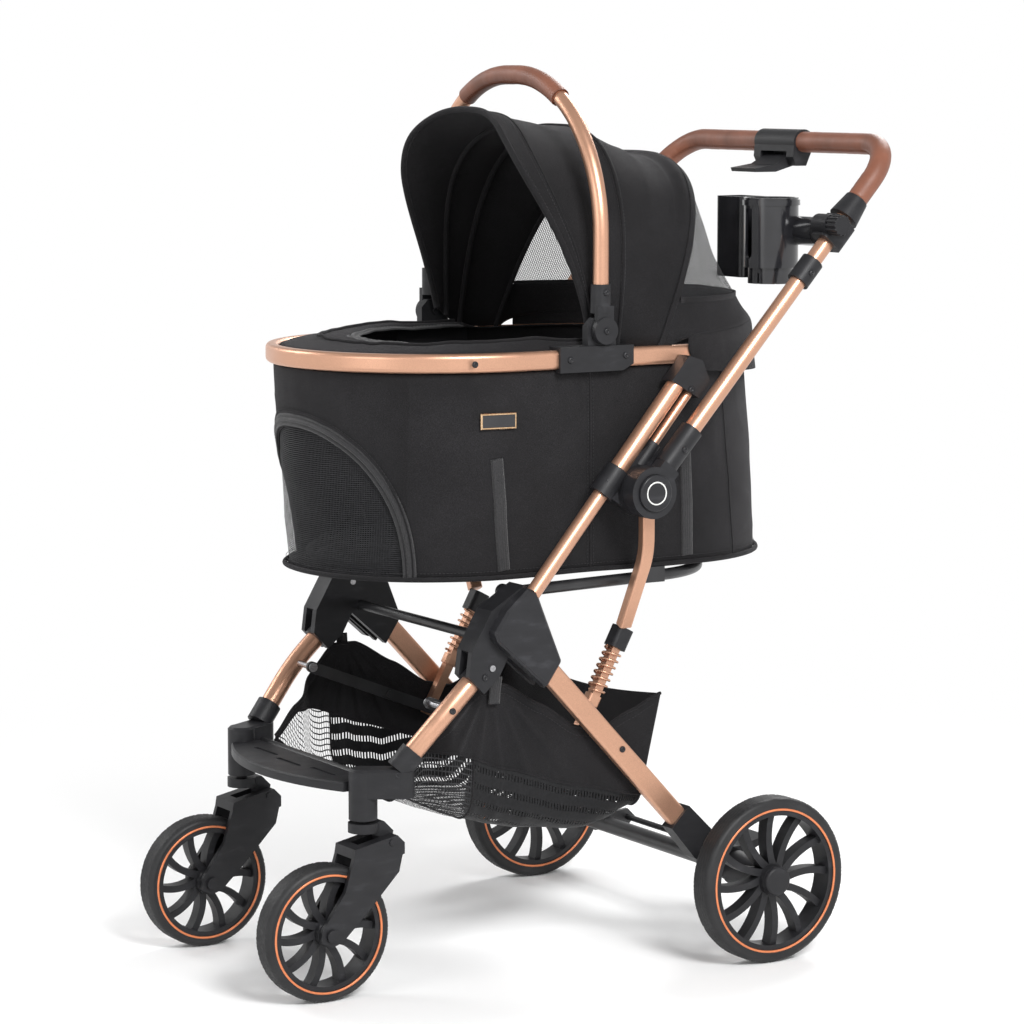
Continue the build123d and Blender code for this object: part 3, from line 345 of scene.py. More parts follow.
# Finishes ---------------------------------------------------------------------------------
class Finish:
    """A material being built: its shader, and short ways to add the nodes that feed it."""

    def __init__(self, name, roughness, metallic=0.0, specular=0.5):
        self.material = bpy.data.materials.new(name)
        self.material.use_nodes = True
        tree = self.material.node_tree
        self.nodes = tree.nodes
        self.links = tree.links
        self.shader = tree.nodes["Principled BSDF"]
        self.shader.inputs["Roughness"].default_value = roughness
        self.shader.inputs["Metallic"].default_value = metallic
        self.shader.inputs["Specular IOR Level"].default_value = specular
        self.place = tree.nodes.new("ShaderNodeTexCoord")
        self.normal = None

    def noise(self, scale, detail=3.0, stretch=None):
        """Cloudy values in space that ride with the piece."""
        source = self.place.outputs["Object"]
        if stretch is not None:
            mapping = self.nodes.new("ShaderNodeMapping")
            mapping.inputs["Scale"].default_value = stretch
            self.links.new(source, mapping.inputs["Vector"])
            source = mapping.outputs["Vector"]
        texture = self.nodes.new("ShaderNodeTexNoise")
        texture.inputs["Scale"].default_value = scale
        texture.inputs["Detail"].default_value = detail
        self.links.new(source, texture.inputs["Vector"])
        return texture.outputs["Fac"]

    def cells(self, scale, feature="DISTANCE_TO_EDGE"):
        """Pebble-like cells."""
        texture = self.nodes.new("ShaderNodeTexVoronoi")
        texture.feature = feature
        texture.inputs["Scale"].default_value = scale
        self.links.new(self.place.outputs["Object"], texture.inputs["Vector"])
        return texture.outputs["Distance"]

    def math(self, operation, a, b=None):
        node = self.nodes.new("ShaderNodeMath")
        node.operation = operation
        for socket, value in zip(node.inputs, (a, b)):
            if value is None:
                continue
            if isinstance(value, (int, float)):
                socket.default_value = value
            else:
                self.links.new(value, socket)
        return node.outputs["Value"]

    def ramp(self, value, low, high):
        """A value from 0 to 1 spread between low and high."""
        node = self.nodes.new("ShaderNodeMapRange")
        node.inputs["To Min"].default_value = low
        node.inputs["To Max"].default_value = high
        self.links.new(value, node.inputs["Value"])
        return node.outputs["Result"]

    def colours(self, value, stops):
        """Colours picked along a value."""
        node = self.nodes.new("ShaderNodeValToRGB")
        ramp = node.color_ramp
        for i, (at, colour) in enumerate(stops):
            stop = ramp.elements[i] if i < 2 else ramp.elements.new(at)
            stop.position = at
            stop.color = (*colour, 1.0)
        self.links.new(value, node.inputs["Fac"])
        return node.outputs["Color"]

    def paint(self, value, stops):
        self.links.new(self.colours(value, stops), self.shader.inputs["Base Color"])

    def polish(self, value, low, high):
        self.links.new(self.ramp(value, low, high), self.shader.inputs["Roughness"])

    def relief(self, height, distance, strength=1.0):
        """Adds a layer of bump over the ones before it."""
        node = self.nodes.new("ShaderNodeBump")
        node.inputs["Distance"].default_value = distance
        node.inputs["Strength"].default_value = strength
        self.links.new(height, node.inputs["Height"])
        if self.normal is not None:
            self.links.new(self.normal, node.inputs["Normal"])
        self.normal = node.outputs["Normal"]
        self.links.new(self.normal, self.shader.inputs["Normal"])

    def threads(self, pitch):
        """Warp and weft waves on the cut cloth, each from -1 to 1."""
        split = self.nodes.new("ShaderNodeSeparateXYZ")
        self.links.new(self.place.outputs["UV"], split.inputs["Vector"])
        waves = []
        for name in ("X", "Y"):
            turns = self.math("MULTIPLY", split.outputs[name], 2 * math.pi / pitch)
            waves.append(self.math("SINE", turns))
        return waves

    def gloss(self, **settings):
        """Constant shader settings."""
        for name, value in settings.items():
            self.shader.inputs[name.replace("_", " ").title()].default_value = value
        return self


def scaled(colour, factor):
    return tuple(min(1.0, c * factor) for c in colour)


def anodised_metal():
    made = Finish("anodised_rose_gold", 0.34, metallic=0.82)
    colour = finishes().frame_metal
    flake = made.noise(1400, 1.0)
    cloud = made.noise(14, 4.0)
    mixed = made.math("ADD", made.math("MULTIPLY", flake, 0.75), made.math("MULTIPLY", cloud, 0.25))
    made.paint(mixed, [(0.3, scaled(colour, 0.86)), (0.52, colour), (0.72, scaled(colour, 1.13))])
    made.polish(made.noise(60, 5.0), 0.27, 0.45)
    made.relief(flake, 0.00002, 0.5)
    made.relief(made.noise(240, 2.0), 0.00003, 0.4)
    return made.material


def moulded_plastic(name="moulded_charcoal", lift=1.0, rough=(0.38, 0.56), grain=0.00006):
    made = Finish(name, 0.46, specular=0.3)
    colour = scaled(finishes().moulding, lift)
    scuff = made.noise(28, 6.0, stretch=(1.0, 1.0, 3.0))
    made.paint(scuff, [(0.35, scaled(colour, 0.8)), (0.6, colour), (0.8, scaled(colour, 1.9))])
    made.polish(made.noise(45, 5.0), *rough)
    made.relief(made.cells(1500, "F1"), grain, 0.7)
    made.relief(made.noise(90, 3.0), grain, 0.4)
    return made.material


def polished_plastic():
    made = Finish("polished_black", 0.16, specular=0.55)
    haze = made.noise(35, 5.0)
    made.paint(haze, [(0.3, (0.010, 0.010, 0.012)), (0.8, (0.020, 0.020, 0.023))])
    made.polish(haze, 0.10, 0.26)
    made.relief(made.noise(120, 2.0), 0.00002, 0.3)
    made.gloss(coat_weight=0.4, coat_roughness=0.08)
    return made.material


def plated_steel():
    made = Finish("zinc_plated_steel", 0.32, metallic=1.0)
    spangle = made.noise(420, 3.0)
    made.paint(spangle, [(0.3, (0.30, 0.30, 0.31)), (0.75, (0.55, 0.55, 0.57))])
    made.polish(made.noise(160, 4.0), 0.22, 0.44)
    made.relief(spangle, 0.00002, 0.5)
    return made.material


def powder_coat():
    made = Finish("powder_coated_black", 0.4, specular=0.5)
    orange_peel = made.noise(700, 2.0)
    made.paint(made.noise(30, 4.0), [(0.3, (0.010, 0.010, 0.011)), (0.8, (0.024, 0.024, 0.026))])
    made.polish(made.noise(80, 3.0), 0.30, 0.46)
    made.relief(orange_peel, 0.00005, 0.5)
    made.gloss(coat_weight=0.15, coat_roughness=0.3)
    return made.material


def stitched_leather():
    made = Finish("grip_leather", 0.5, specular=0.45)
    colour = finishes().hide
    pores = made.cells(950)
    cloud = made.noise(22, 5.0)
    made.paint(cloud, [(0.25, scaled(colour, 0.72)), (0.5, colour), (0.8, scaled(colour, 1.35))])
    made.polish(made.noise(55, 4.0), 0.38, 0.6)
    made.relief(pores, 0.00022, 0.6)
    made.relief(made.noise(300, 3.0), 0.00012, 0.5)
    made.gloss(coat_weight=0.08, coat_roughness=0.4)
    return made.material


def woven_cloth(name="oxford_cloth", lift=1.0, rough=(0.72, 0.9), depth=0.00016):
    made = Finish(name, 0.82, specular=0.16)
    colour = scaled(finishes().cloth, lift)
    warp, weft = made.threads(sewing().thread_pitch)
    weave = made.math("MULTIPLY", warp, weft)
    fleck = made.noise(1100, 2.0)
    cloud = made.noise(9, 4.0)
    mixed = made.math("ADD", made.math("MULTIPLY", fleck, 0.7), made.math("MULTIPLY", cloud, 0.3))
    made.paint(mixed, [(0.3, scaled(colour, 0.55)), (0.5, colour), (0.7, scaled(colour, 2.3))])
    made.polish(made.noise(70, 3.0), *rough)
    made.relief(weave, depth, 0.8)
    made.relief(made.noise(160, 3.0), 0.0002, 0.35)
    made.gloss(sheen_weight=0.07, sheen_roughness=0.4)
    made.shader.inputs["Sheen Tint"].default_value = (0.85, 0.82, 0.86, 1.0)
    return made.material


def open_net(name, pitch, openness, colour, ribs=1.0):
    """Knitted net: threads cross at a pitch and leave holes between them; ribs makes the holes long."""
    made = Finish(name, 0.62, specular=0.2)
    split = made.nodes.new("ShaderNodeSeparateXYZ")
    made.links.new(made.place.outputs["UV"], split.inputs["Vector"])
    sway = made.math("MULTIPLY", made.math("SUBTRACT", made.noise(26, 2.0), 0.5), 0.9 * pitch)
    waves = []
    for axis, stretch in (("X", 1.0), ("Y", ribs)):
        place = made.math("ADD", split.outputs[axis], sway)
        turns = made.math("MULTIPLY", place, math.pi / (pitch * stretch))
        waves.append(made.math("ABSOLUTE", made.math("SINE", turns)))
    hole = made.math("MINIMUM", *waves)
    thread = made.math("LESS_THAN", hole, 1.0 - openness)
    made.links.new(thread, made.shader.inputs["Alpha"])
    made.paint(made.noise(300, 2.0), [(0.3, scaled(colour, 0.7)), (0.7, scaled(colour, 1.3))])
    made.polish(made.noise(90, 2.0), 0.5, 0.75)
    made.relief(hole, -0.0003, 0.6)
    made.gloss(sheen_weight=0.06)
    return made.material


def ribbed_webbing():
    made = Finish("ribbed_webbing", 0.7, specular=0.35)
    warp, weft = made.threads(1.6 * MM)
    made.paint(made.noise(600, 2.0), [(0.3, (0.008, 0.008, 0.009)), (0.7, (0.028, 0.027, 0.029))])
    made.polish(made.noise(80, 2.0), 0.55, 0.8)
    made.relief(made.math("ADD", warp, weft), 0.0002, 0.7)
    made.gloss(sheen_weight=0.2)
    return made.material


def tyre_rubber():
    made = Finish("foam_rubber", 0.55, specular=0.4)
    dust = made.noise(24, 6.0)
    made.paint(dust, [(0.3, (0.011, 0.011, 0.012)), (0.6, (0.017, 0.017, 0.018)),
                      (0.85, (0.035, 0.034, 0.033))])
    made.polish(made.noise(50, 4.0), 0.42, 0.68)
    made.relief(made.noise(800, 2.0), 0.00008, 0.6)
    return made.material


def copper_line():
    made = Finish("copper_ring", 0.36, metallic=0.25)
    colour = finishes().ring
    cloud = made.noise(90, 4.0)
    made.paint(cloud, [(0.3, scaled(colour, 0.85)), (0.75, scaled(colour, 1.12))])
    made.polish(cloud, 0.28, 0.45)
    made.relief(made.noise(900, 2.0), 0.00003, 0.4)
    return made.material


def brass_edge():
    made = Finish("gilt_edge", 0.24, metallic=1.0)
    cloud = made.noise(300, 3.0)
    made.paint(cloud, [(0.3, (0.62, 0.40, 0.22)), (0.75, (0.86, 0.62, 0.40))])
    made.polish(cloud, 0.18, 0.34)
    return made.material


def thread_finish(name, colour):
    made = Finish(name, 0.6, specular=0.3)
    twist = made.noise(1800, 2.0)
    made.paint(twist, [(0.3, scaled(colour, 0.75)), (0.7, scaled(colour, 1.25))])
    made.polish(twist, 0.5, 0.7)
    made.relief(twist, 0.0001, 0.6)
    return made.material


def emblem_paint():
    made = Finish("pale_print", 0.4, specular=0.4)
    wear = made.noise(700, 3.0)
    made.paint(wear, [(0.25, (0.50, 0.50, 0.48)), (0.5, (0.72, 0.72, 0.70))])
    made.polish(wear, 0.35, 0.5)
    return made.material


def floor_paint():
    """Paper that glows softly away from the stroller, so that it has no horizon."""
    made = Finish("studio_floor", 0.7, specular=0.1)
    made.paint(made.noise(2.5, 3.0), [(0.2, (0.95, 0.95, 0.95)), (0.8, (0.97, 0.97, 0.97))])
    made.polish(made.noise(6, 3.0), 0.65, 0.75)
    length = made.nodes.new("ShaderNodeVectorMath")
    length.operation = "LENGTH"
    made.links.new(made.place.outputs["Object"], length.inputs[0])
    spread = made.nodes.new("ShaderNodeMapRange")
    spread.interpolation_type = "SMOOTHERSTEP"
    spread.inputs["From Min"].default_value = 0.3
    spread.inputs["From Max"].default_value = 1.9
    made.links.new(length.outputs["Value"], spread.inputs["Value"])
    glow = made.nodes.new("ShaderNodeEmission")
    glow.inputs["Strength"].default_value = 1.0
    mix = made.nodes.new("ShaderNodeMixShader")
    made.links.new(spread.outputs["Result"], mix.inputs["Fac"])
    made.links.new(made.shader.outputs["BSDF"], mix.inputs[1])
    made.links.new(glow.outputs["Emission"], mix.inputs[2])
    made.links.new(mix.outputs["Shader"], made.nodes["Material Output"].inputs["Surface"])
    return made.material


PALETTE = {}


def finish(name):
    """Each finish is made once, the first time that a piece asks for it."""
    makers = {
        "metal": anodised_metal,
        "moulding": moulded_plastic,
        "soft_moulding": lambda: moulded_plastic("satin_charcoal", 1.25, (0.3, 0.42), 0.00003),
        "polished": polished_plastic,
        "steel": plated_steel,
        "powder": powder_coat,
        "leather": stitched_leather,
        "cloth": woven_cloth,
        "lining": lambda: woven_cloth("lining_cloth", 0.6, (0.8, 0.95), 0.0001),
        "canopy": lambda: woven_cloth("canopy_cloth", 0.9, (0.74, 0.9), 0.00014),
        "net": lambda: open_net("window_net", sewing().net_pitch, 0.50, (0.020, 0.020, 0.022)),
        "pale_net": lambda: open_net("basket_net", 3.2 * MM, 0.62, (0.030, 0.030, 0.032), 2.4),
        "dense_net": lambda: open_net("ribbed_net", 4.4 * MM, 0.16, (0.010, 0.010, 0.011), 5.0),
        "webbing": ribbed_webbing,
        "rubber": tyre_rubber,
        "copper": copper_line,
        "gilt": brass_edge,
        "black_thread": lambda: thread_finish("black_thread", (0.030, 0.029, 0.031)),
        "brown_thread": lambda: thread_finish("brown_thread", (0.16, 0.055, 0.030)),
        "emblem": emblem_paint,
        "floor": floor_paint,
    }
    if name not in PALETTE:
        PALETTE[name] = makers[name]()
    return PALETTE[name]


NODE_FINISH = {
    "metal": "front_leg_left front_leg_right rear_leg_left rear_leg_right lower_tubes upper_tubes "
             "lock_rods handle_tube strut_tubes strut_rods bassinet_rim bail_tube strut_springs",
    "moulding": "crossing_housings caster_housings footrest axle_brackets caster_stem_left "
                "caster_stem_right fork_left fork_right strut_sleeves hub_arms top_brackets "
                "handle_sleeves lever_housing fold_lever rim_brackets bail_joints brake_pedal "
                "cup_clamp clamp_knob front_rim_left front_rim_right rear_rim_left rear_rim_right",
    "soft_moulding": "crossing_covers hub_discs hub_button_left hub_button_right",
    "polished": "cup_holder",
    "steel": "frame_rivets rear_axle",
    "powder": "frame_cross_tube front_cross_tube axle_tube brace_front_links brace_rear_links seat_frame",
}


def dress(piece, body, slot, *nodes):
    """Puts a piece on its body and hides the parts that it stands for; the slot is not used."""
    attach(piece, body)
    if nodes:
        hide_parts(*nodes)
    return piece


# Wheels -----------------------------------------------------------------------------------
SIDES = (("left", "l", 1), ("right", "r", -1))


def tyre_piece(name, axle, radius, seat, half):
    """A foam tyre whose tread stands up in diamonds between crossing grooves."""
    depth = bpy.context.scene.stroller_wheels.tread_depth
    corner = 7 * MM
    outline = [(-half, seat), (-half, seat + 3 * MM), (-half + 0.8 * MM, seat + 4.2 * MM)]
    turns = 6
    for i in range(turns + 1):
        a = math.pi / 2 * i / turns
        outline.append((-half + corner - corner * math.cos(a), radius - corner + corner * math.sin(a)))
    across = 11
    for i in range(1, across):
        outline.append((-half + corner + (2 * half - 2 * corner) * i / across, radius))
    outline += [(-x, r) for x, r in reversed(outline[:3 + turns + 1])]
    steps = 288
    diamonds = round(2 * math.pi * radius / (5.2 * MM))
    points = []
    for i in range(steps):
        a = 2 * math.pi * i / steps
        for x, r in outline:
            tread = smoothstep(radius - 5 * MM, radius - 1.5 * MM, r)
            one = abs(math.sin(diamonds / 2 * a + x / (3.3 * MM)))
            two = abs(math.sin(diamonds / 2 * a - x / (3.3 * MM)))
            cut = depth * tread * (1 - smoothstep(0.15, 0.55, min(one, two)))
            reach = r - cut
            points.append(Vector(axle) + Vector((x, reach * math.cos(a), reach * math.sin(a))))
    size = len(outline)
    faces = []
    for i in range(steps):
        k = (i + 1) % steps
        for j in range(size):
            m = (j + 1) % size
            faces.append((i * size + j, k * size + j, k * size + m, i * size + m))
    piece = make_piece(name, points, faces, finish("rubber"))
    settle_normals(piece)
    return piece


class SewTyres(bpy.types.Operator):
    """Make the four treaded tyres and the copper rings in their rims"""

    bl_idname = "stroller.tyres"
    bl_label = "Tyres and rings"

    def execute(self, context):
        ring_half = context.scene.stroller_wheels.ring_width / 2
        for kind in ("front", "rear"):
            for side, letter, _ in SIDES:
                node = f"{kind}_tyre_{side}"
                low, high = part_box(node)
                axle = (low + high) / 2
                radius = (high.z - low.z) / 2
                half = (high.x - low.x) / 2
                seat = radius * 0.86
                body = f"{kind}_wheel_{letter}"
                dress(tyre_piece(f"tyre_{kind}_{side}", axle, radius, seat, half), body, "tyre", node)
                rings = []
                for face in (-1, 1):
                    outline = [
                        (face * (half - 1.2 * MM), seat - ring_half),
                        (face * (half + 0.3 * MM), seat - ring_half),
                        (face * (half + 0.7 * MM), seat), (face * (half + 0.3 * MM), seat + ring_half),
                        (face * (half - 1.2 * MM), seat + ring_half),
                    ]
                    rings.append(lathe_piece("ring", axle, outline, 144, finish("copper")))
                dress(join_pieces(f"ring_{kind}_{side}", rings), body, "gold_frame")
        return {"FINISHED"}


# Cabin ------------------------------------------------------------------------------------
QUARTER = 0.174       # share of the cabin's outline in each quarter turn
STRAIGHT = 0.152      # share of it in each straight side
CABIN_TOP_Z = 0.7715
CABIN_BASE_Z = 0.512
CABIN_TOP = (0.206, -0.321, 0.325)      # half width, foremost and rearmost place
CABIN_BASE = (0.180, -0.306, 0.350)
TAB_PLACES = ((-0.114, -0.138), (0.136, 0.148))    # foot and head of each webbing tab along the side
WINDOW_TURN = 52.0    # degrees from the nose to each foot of the window
WINDOW_HEIGHT = 0.184
RIM_TOP_Z = 0.797


def round_ended(t, half, front, back):
    """A point and its outward direction on a long round-ended outline; t is 0 at the nose."""
    t %= 1.0
    hand = 1.0
    if t > 0.5:
        t, hand = 1.0 - t, -1.0
    if t <= QUARTER:
        a = t / QUARTER * math.pi / 2
        return Vector((hand * half * math.sin(a), front + half - half * math.cos(a), 0)), \
            Vector((hand * math.sin(a), -math.cos(a), 0))
    if t <= QUARTER + STRAIGHT:
        f = (t - QUARTER) / STRAIGHT
        y = (front + half) * (1 - f) + (back - half) * f
        return Vector((hand * half, y, 0)), Vector((hand, 0, 0))
    a = (t - QUARTER - STRAIGHT) / QUARTER * math.pi / 2
    return Vector((hand * half * math.cos(a), back - half + half * math.sin(a), 0)), \
        Vector((hand * math.cos(a), math.sin(a), 0))


def creases(p, depth):
    """Soft folds and a few sharper creases."""
    soft = noise.noise(Vector((p.x * 8, p.y * 8, p.z * 5))) + 0.5 * noise.noise(p * 19)
    sharp = (1 - abs(noise.noise(Vector((p.x * 11 + p.z * 7, p.y * 11, p.z * 9 + 3.7))))) ** 9
    return depth * (0.8 * soft + 0.55 * sharp)


def cabin_point(t, z, out=0.0):
    """A point on the cabin's cloth and its outward direction."""
    f = (CABIN_TOP_Z - z) / (CABIN_TOP_Z - CABIN_BASE_Z)
    outline = [a + (b - a) * f for a, b in zip(CABIN_TOP, CABIN_BASE)]
    p, normal = round_ended(t, *outline)
    p.z = z
    hold = math.sin(math.pi * min(1.0, max(0.0, f))) ** 0.6
    belly = (1.5 * MM + creases(p, sewing().crease_depth)) * hold
    return p + normal * (belly + out), normal


def side_turn(y):
    """Where a place on the cabin's straight side falls along its outline."""
    half, front, back = ((a + b) / 2 for a, b in zip(CABIN_TOP, CABIN_BASE))
    return QUARTER + STRAIGHT * (y - front - half) / (back - front - 2 * half)


def window_top(angle):
    """Height of the window's arch at an angle from the nose, in degrees."""
    share = min(1.0, abs(angle) / WINDOW_TURN)
    return CABIN_BASE_Z + WINDOW_HEIGHT * math.sqrt(max(0.0, 1 - share ** 2.2))


def window_arch(count, out=0.0, grow=0.0):
    """Points and outward directions along the arch, from one foot to the other."""
    path, outward = [], []
    for i in range(count + 1):
        a = math.pi * i / count
        angle = (WINDOW_TURN + grow * 180) * math.copysign(abs(math.cos(a)) ** (2 / 2.2), math.cos(a))
        z = CABIN_BASE_Z + (WINDOW_HEIGHT + grow) * math.sin(a) + 2 * MM
        p, normal = cabin_point(angle / 90 * QUARTER, z, out)
        path.append(p)
        outward.append(normal)
    return path, outward


def zip_section(i):
    """A zip between two tapes: the coil stands up and its teeth ripple."""
    tooth = 2.5 * MM + (0.45 * MM if i % 2 else 0.0)
    half = [(8.5, -1.0), (8.5, 0.6), (7.6, 1.7), (5.6, 1.7), (4.6, 0.8), (2.6, 0.8)]
    left = [(a * MM, b * MM) for a, b in half] + [(1.9 * MM, tooth)]
    return left + [(-a, b) for a, b in reversed(left)]


def strip_section(half, height):
    return [(half, -height), (half, height * 0.6), (half * 0.8, height), (-half * 0.8, height),
            (-half, height * 0.6), (-half, -height)]


def cabin_wall():
    """The cloth wall, cut away under the window's arch, and the net that fills the arch."""
    inside = []
    for i in range(45):
        angle = WINDOW_TURN * math.sin(math.pi / 2 * (i / 22 - 1))
        inside.append((angle / 90 * QUARTER, window_top(angle)))
    first = inside[-1][0]
    outside = [(first + (1 - 2 * first) * i / 190, CABIN_BASE_Z) for i in range(1, 190)]
    columns = inside + outside
    rows = []
    count = 34
    for i in range(count + 1):
        f = i / count
        rows.append([cabin_point(t, low + (CABIN_TOP_Z - low) * f)[0] for t, low in columns])
    wall = thicken(sheet_mesh("cabin_wall", rows, finish("cloth"), closed=True), 2.0 * MM)
    net_rows = []
    for i in range(25):
        f = i / 24
        row = []
        for t, top in inside[1:-1]:
            z = CABIN_BASE_Z + (top - CABIN_BASE_Z) * f
            p, normal = cabin_point(t, z, -2.5 * MM)
            slack = 2.5 * MM * noise.noise(p * 16) * math.sin(math.pi * f)
            row.append(p + normal * slack)
        net_rows.append(row)
    net = sheet_mesh("cabin_window_net", net_rows, finish("net"))
    return wall, net


def cabin_trim():
    """Zip round the window, piping, seams, webbing tabs and their stitches."""
    parts = []
    path, outward = window_arch(150, 1.2 * MM, 8 * MM)
    parts.append(sweep_piece("window_zip", path, zip_section, finish("webbing"), outward))
    for grow, half in ((0.0, 1.6 * MM), (17 * MM, 2.2 * MM)):
        path, outward = window_arch(120, 0.8 * MM, grow)
        parts.append(sweep_piece("window_binding", path, round_section(half), finish("cloth"), outward))
    for grow in (3.2 * MM, 13.4 * MM, 20.5 * MM):
        path, outward = window_arch(110, 1.6 * MM, grow)
        parts.append(stitch_row("window_stitches", path, outward, finish("black_thread")))
    ring = []
    for i in range(260):
        p, normal = cabin_point(i / 260, CABIN_BASE_Z + 1 * MM, 3.5 * MM)
        ring.append(p + Vector((0, 0, 1.6 * MM * noise.noise(p * 9))))
    parts.append(sweep_piece("cabin_piping", ring, round_section(sewing().piping), finish("cloth"),
                             closed=True))
    band = [cabin_point(i / 260, CABIN_BASE_Z + 9 * MM, 0.8 * MM) for i in range(260)]
    parts.append(stitch_row("cabin_hem_stitches", [p for p, _ in band], [n for _, n in band],
                            finish("black_thread")))
    for hand in (1, -1):
        for y in (0.002, 0.225):
            t = hand * side_turn(y)
            seam = [cabin_point(t, CABIN_BASE_Z + 4 * MM + 0.252 * i / 40, 0.4 * MM) for i in range(41)]
            parts.append(sweep_piece("cabin_seam", [p for p, _ in seam], strip_section(1.6 * MM, 0.7 * MM),
                                     finish("cloth"), [n for _, n in seam]))
            for aside in (-4 * MM, 4 * MM):
                row = [cabin_point(t + hand * aside * 0.57, CABIN_BASE_Z + 6 * MM + 0.25 * i / 40, 0.3 * MM)
                       for i in range(41)]
                parts.append(stitch_row("seam_stitches", [p for p, _ in row], [n for _, n in row],
                                        finish("black_thread")))
        for foot, head in TAB_PLACES:
            tab = []
            for i in range(93):
                t = hand * side_turn(foot + (head - foot) * i / 92)
                tab.append(cabin_point(t, 0.521 + 0.143 * i / 92, 0.4 * MM))

            def rib(i):
                return strip_section(8.5 * MM, (2.4 if i % 2 else 1.3) * MM)
            parts.append(sweep_piece("webbing_tab", [p for p, _ in tab], rib, finish("webbing"),
                                     [n for _, n in tab]))
    return parts


def name_plate():
    """A blank black plate in a gilt frame on the left side."""
    centre, normal = cabin_point(side_turn(-0.1405), 0.712, 1.2 * MM)
    side = Vector((0, 0, 1)).cross(normal).normalized()
    up = Vector((0, 0, 1))
    pieces = []
    for name, half_w, half_h, low, high, chamfer, kind in (
            ("plate_frame", 24.5, 10.0, 0.0, 2.6, 0.8, "gilt"),
            ("plate_face", 22.6, 8.2, 0.6, 3.2, 0.9, "polished")):
        points = []
        for level, inset in ((low, 0.0), (high - chamfer, 0.0), (high, chamfer)):
            for a, b in ((-1, -1), (1, -1), (1, 1), (-1, 1)):
                points.append(centre + side * a * (half_w - inset) * MM + up * b * (half_h - inset) * MM
                              + normal * level * MM)
        faces = [(0, 3, 2, 1), (8, 9, 10, 11)]
        for k in (0, 4):
            faces += [(k + j, k + (j + 1) % 4, k + 4 + (j + 1) % 4, k + 4 + j) for j in range(4)]
        pieces.append(make_piece(name, points, faces, finish(kind), smooth=False))
    return pieces


def cabin_floor():
    """The stiff bottom, quilted with a shallow grid."""
    rows = []
    for i in range(19):
        f = i / 18
        row = []
        for j in range(120):
            p, _ = round_ended(j / 120, *CABIN_BASE)
            centre = Vector((0, 0.022, 0))
            q = centre.lerp(p, max(0.02, f))
            q.z = CABIN_BASE_Z + 2 * MM + 1.2 * MM * abs(math.sin(q.x * 60) * math.sin(q.y * 60)) * (1 - f ** 6)
            row.append(q)
        rows.append(row)
    return thicken(sheet_mesh("cabin_floor", rows, finish("lining"), closed=True), 3 * MM, 1.0)


class SewCabin(bpy.types.Operator):
    """Sew the cabin's wall, window, trim and floor"""

    bl_idname = "stroller.cabin"
    bl_label = "Cabin"

    def execute(self, context):
        wall, net = cabin_wall()
        dress(wall, "bassinet", "black_fabric", "bassinet_shell")
        dress(net, "bassinet", "black_fabric")
        trim = join_pieces("cabin_trim", cabin_trim())
        dress(trim, "bassinet", "black_fabric")
        plate = join_pieces("cabin_plate", name_plate())
        dress(plate, "bassinet", "gloss_black")
        floor = dress(cabin_floor(), "bassinet", "black_fabric")
        collar, zipper, welt = cabin_cover()
        for piece in (collar, zipper, welt):
            dress(piece, "bassinet", "black_fabric")
        return {"FINISHED"}


COVER_HALF = 0.1982
COVER_FRONT = -0.314
COVER_BACK = 0.318


def cabin_cover():
    """The opened top cover: a lining up the inside of the rim, a puffed collar and its zip."""
    count = 220
    widths = 15
    rows = []
    for k in range(widths):
        f = k / (widths - 1)
        row = []
        for i in range(count):
            t = i / count - 0.5
            p, normal = round_ended(t, COVER_HALF, COVER_FRONT, COVER_BACK)
            nose = math.cos(math.pi / 2 * min(1.0, abs(t) / (QUARTER * 1.25))) ** 1.5
            tail = smoothstep(QUARTER + STRAIGHT * 0.55, QUARTER + STRAIGHT * 0.8, abs(t))
            width = (0.030 + 0.085 * nose) * (1 - tail) + 0.009 * tail
            lift = (6.5 * MM + 5 * MM * (1 - nose)) * (1 - tail) + 1 * MM * tail
            if f < 0.3:
                step_in, z = 1.5 * MM, 0.771 + (RIM_TOP_Z - 1 * MM - 0.771) * f / 0.3
            else:
                g = (f - 0.3) / 0.7
                step_in = 1.5 * MM + width * g
                z = RIM_TOP_Z - 1 * MM + lift * math.sin(math.pi * g * 0.86)
            wave = (noise.noise(Vector((p.x * 13, p.y * 13, f * 2.2)))
                    + 0.6 * noise.noise(Vector((p.x * 34, p.y * 34, f * 3))))
            q = p - normal * (step_in + 1.5 * MM * wave * smoothstep(0.25, 0.6, f))
            q.z = z + 3.4 * MM * wave * smoothstep(0.3, 0.7, f) * (1 - tail)
            row.append(q)
        rows.append(row)
    edge = rows[-1]
    collar = thicken(sheet_mesh("cover_collar", rows, finish("cloth"), closed=True), 1.4 * MM)
    keep = round(count * 0.5 * (QUARTER + STRAIGHT * 0.6) / 0.5)
    line = evened(edge[count // 2 - keep:count // 2 + keep], 2.6 * MM)
    up = [Vector((0, 0, 1))] * len(line)
    zipper = sweep_piece("cover_zip", line, zip_section, finish("webbing"), up)
    middle = evened(rows[9][count // 2 - keep:count // 2 + keep], 2.0 * MM)
    welt = sweep_piece("cover_welt", [p + Vector((0, 0, 1.2 * MM)) for p in middle], round_section(2.4 * MM),
                       finish("cloth"), [Vector((0, 0, 1))] * len(middle))
    return collar, zipper, welt


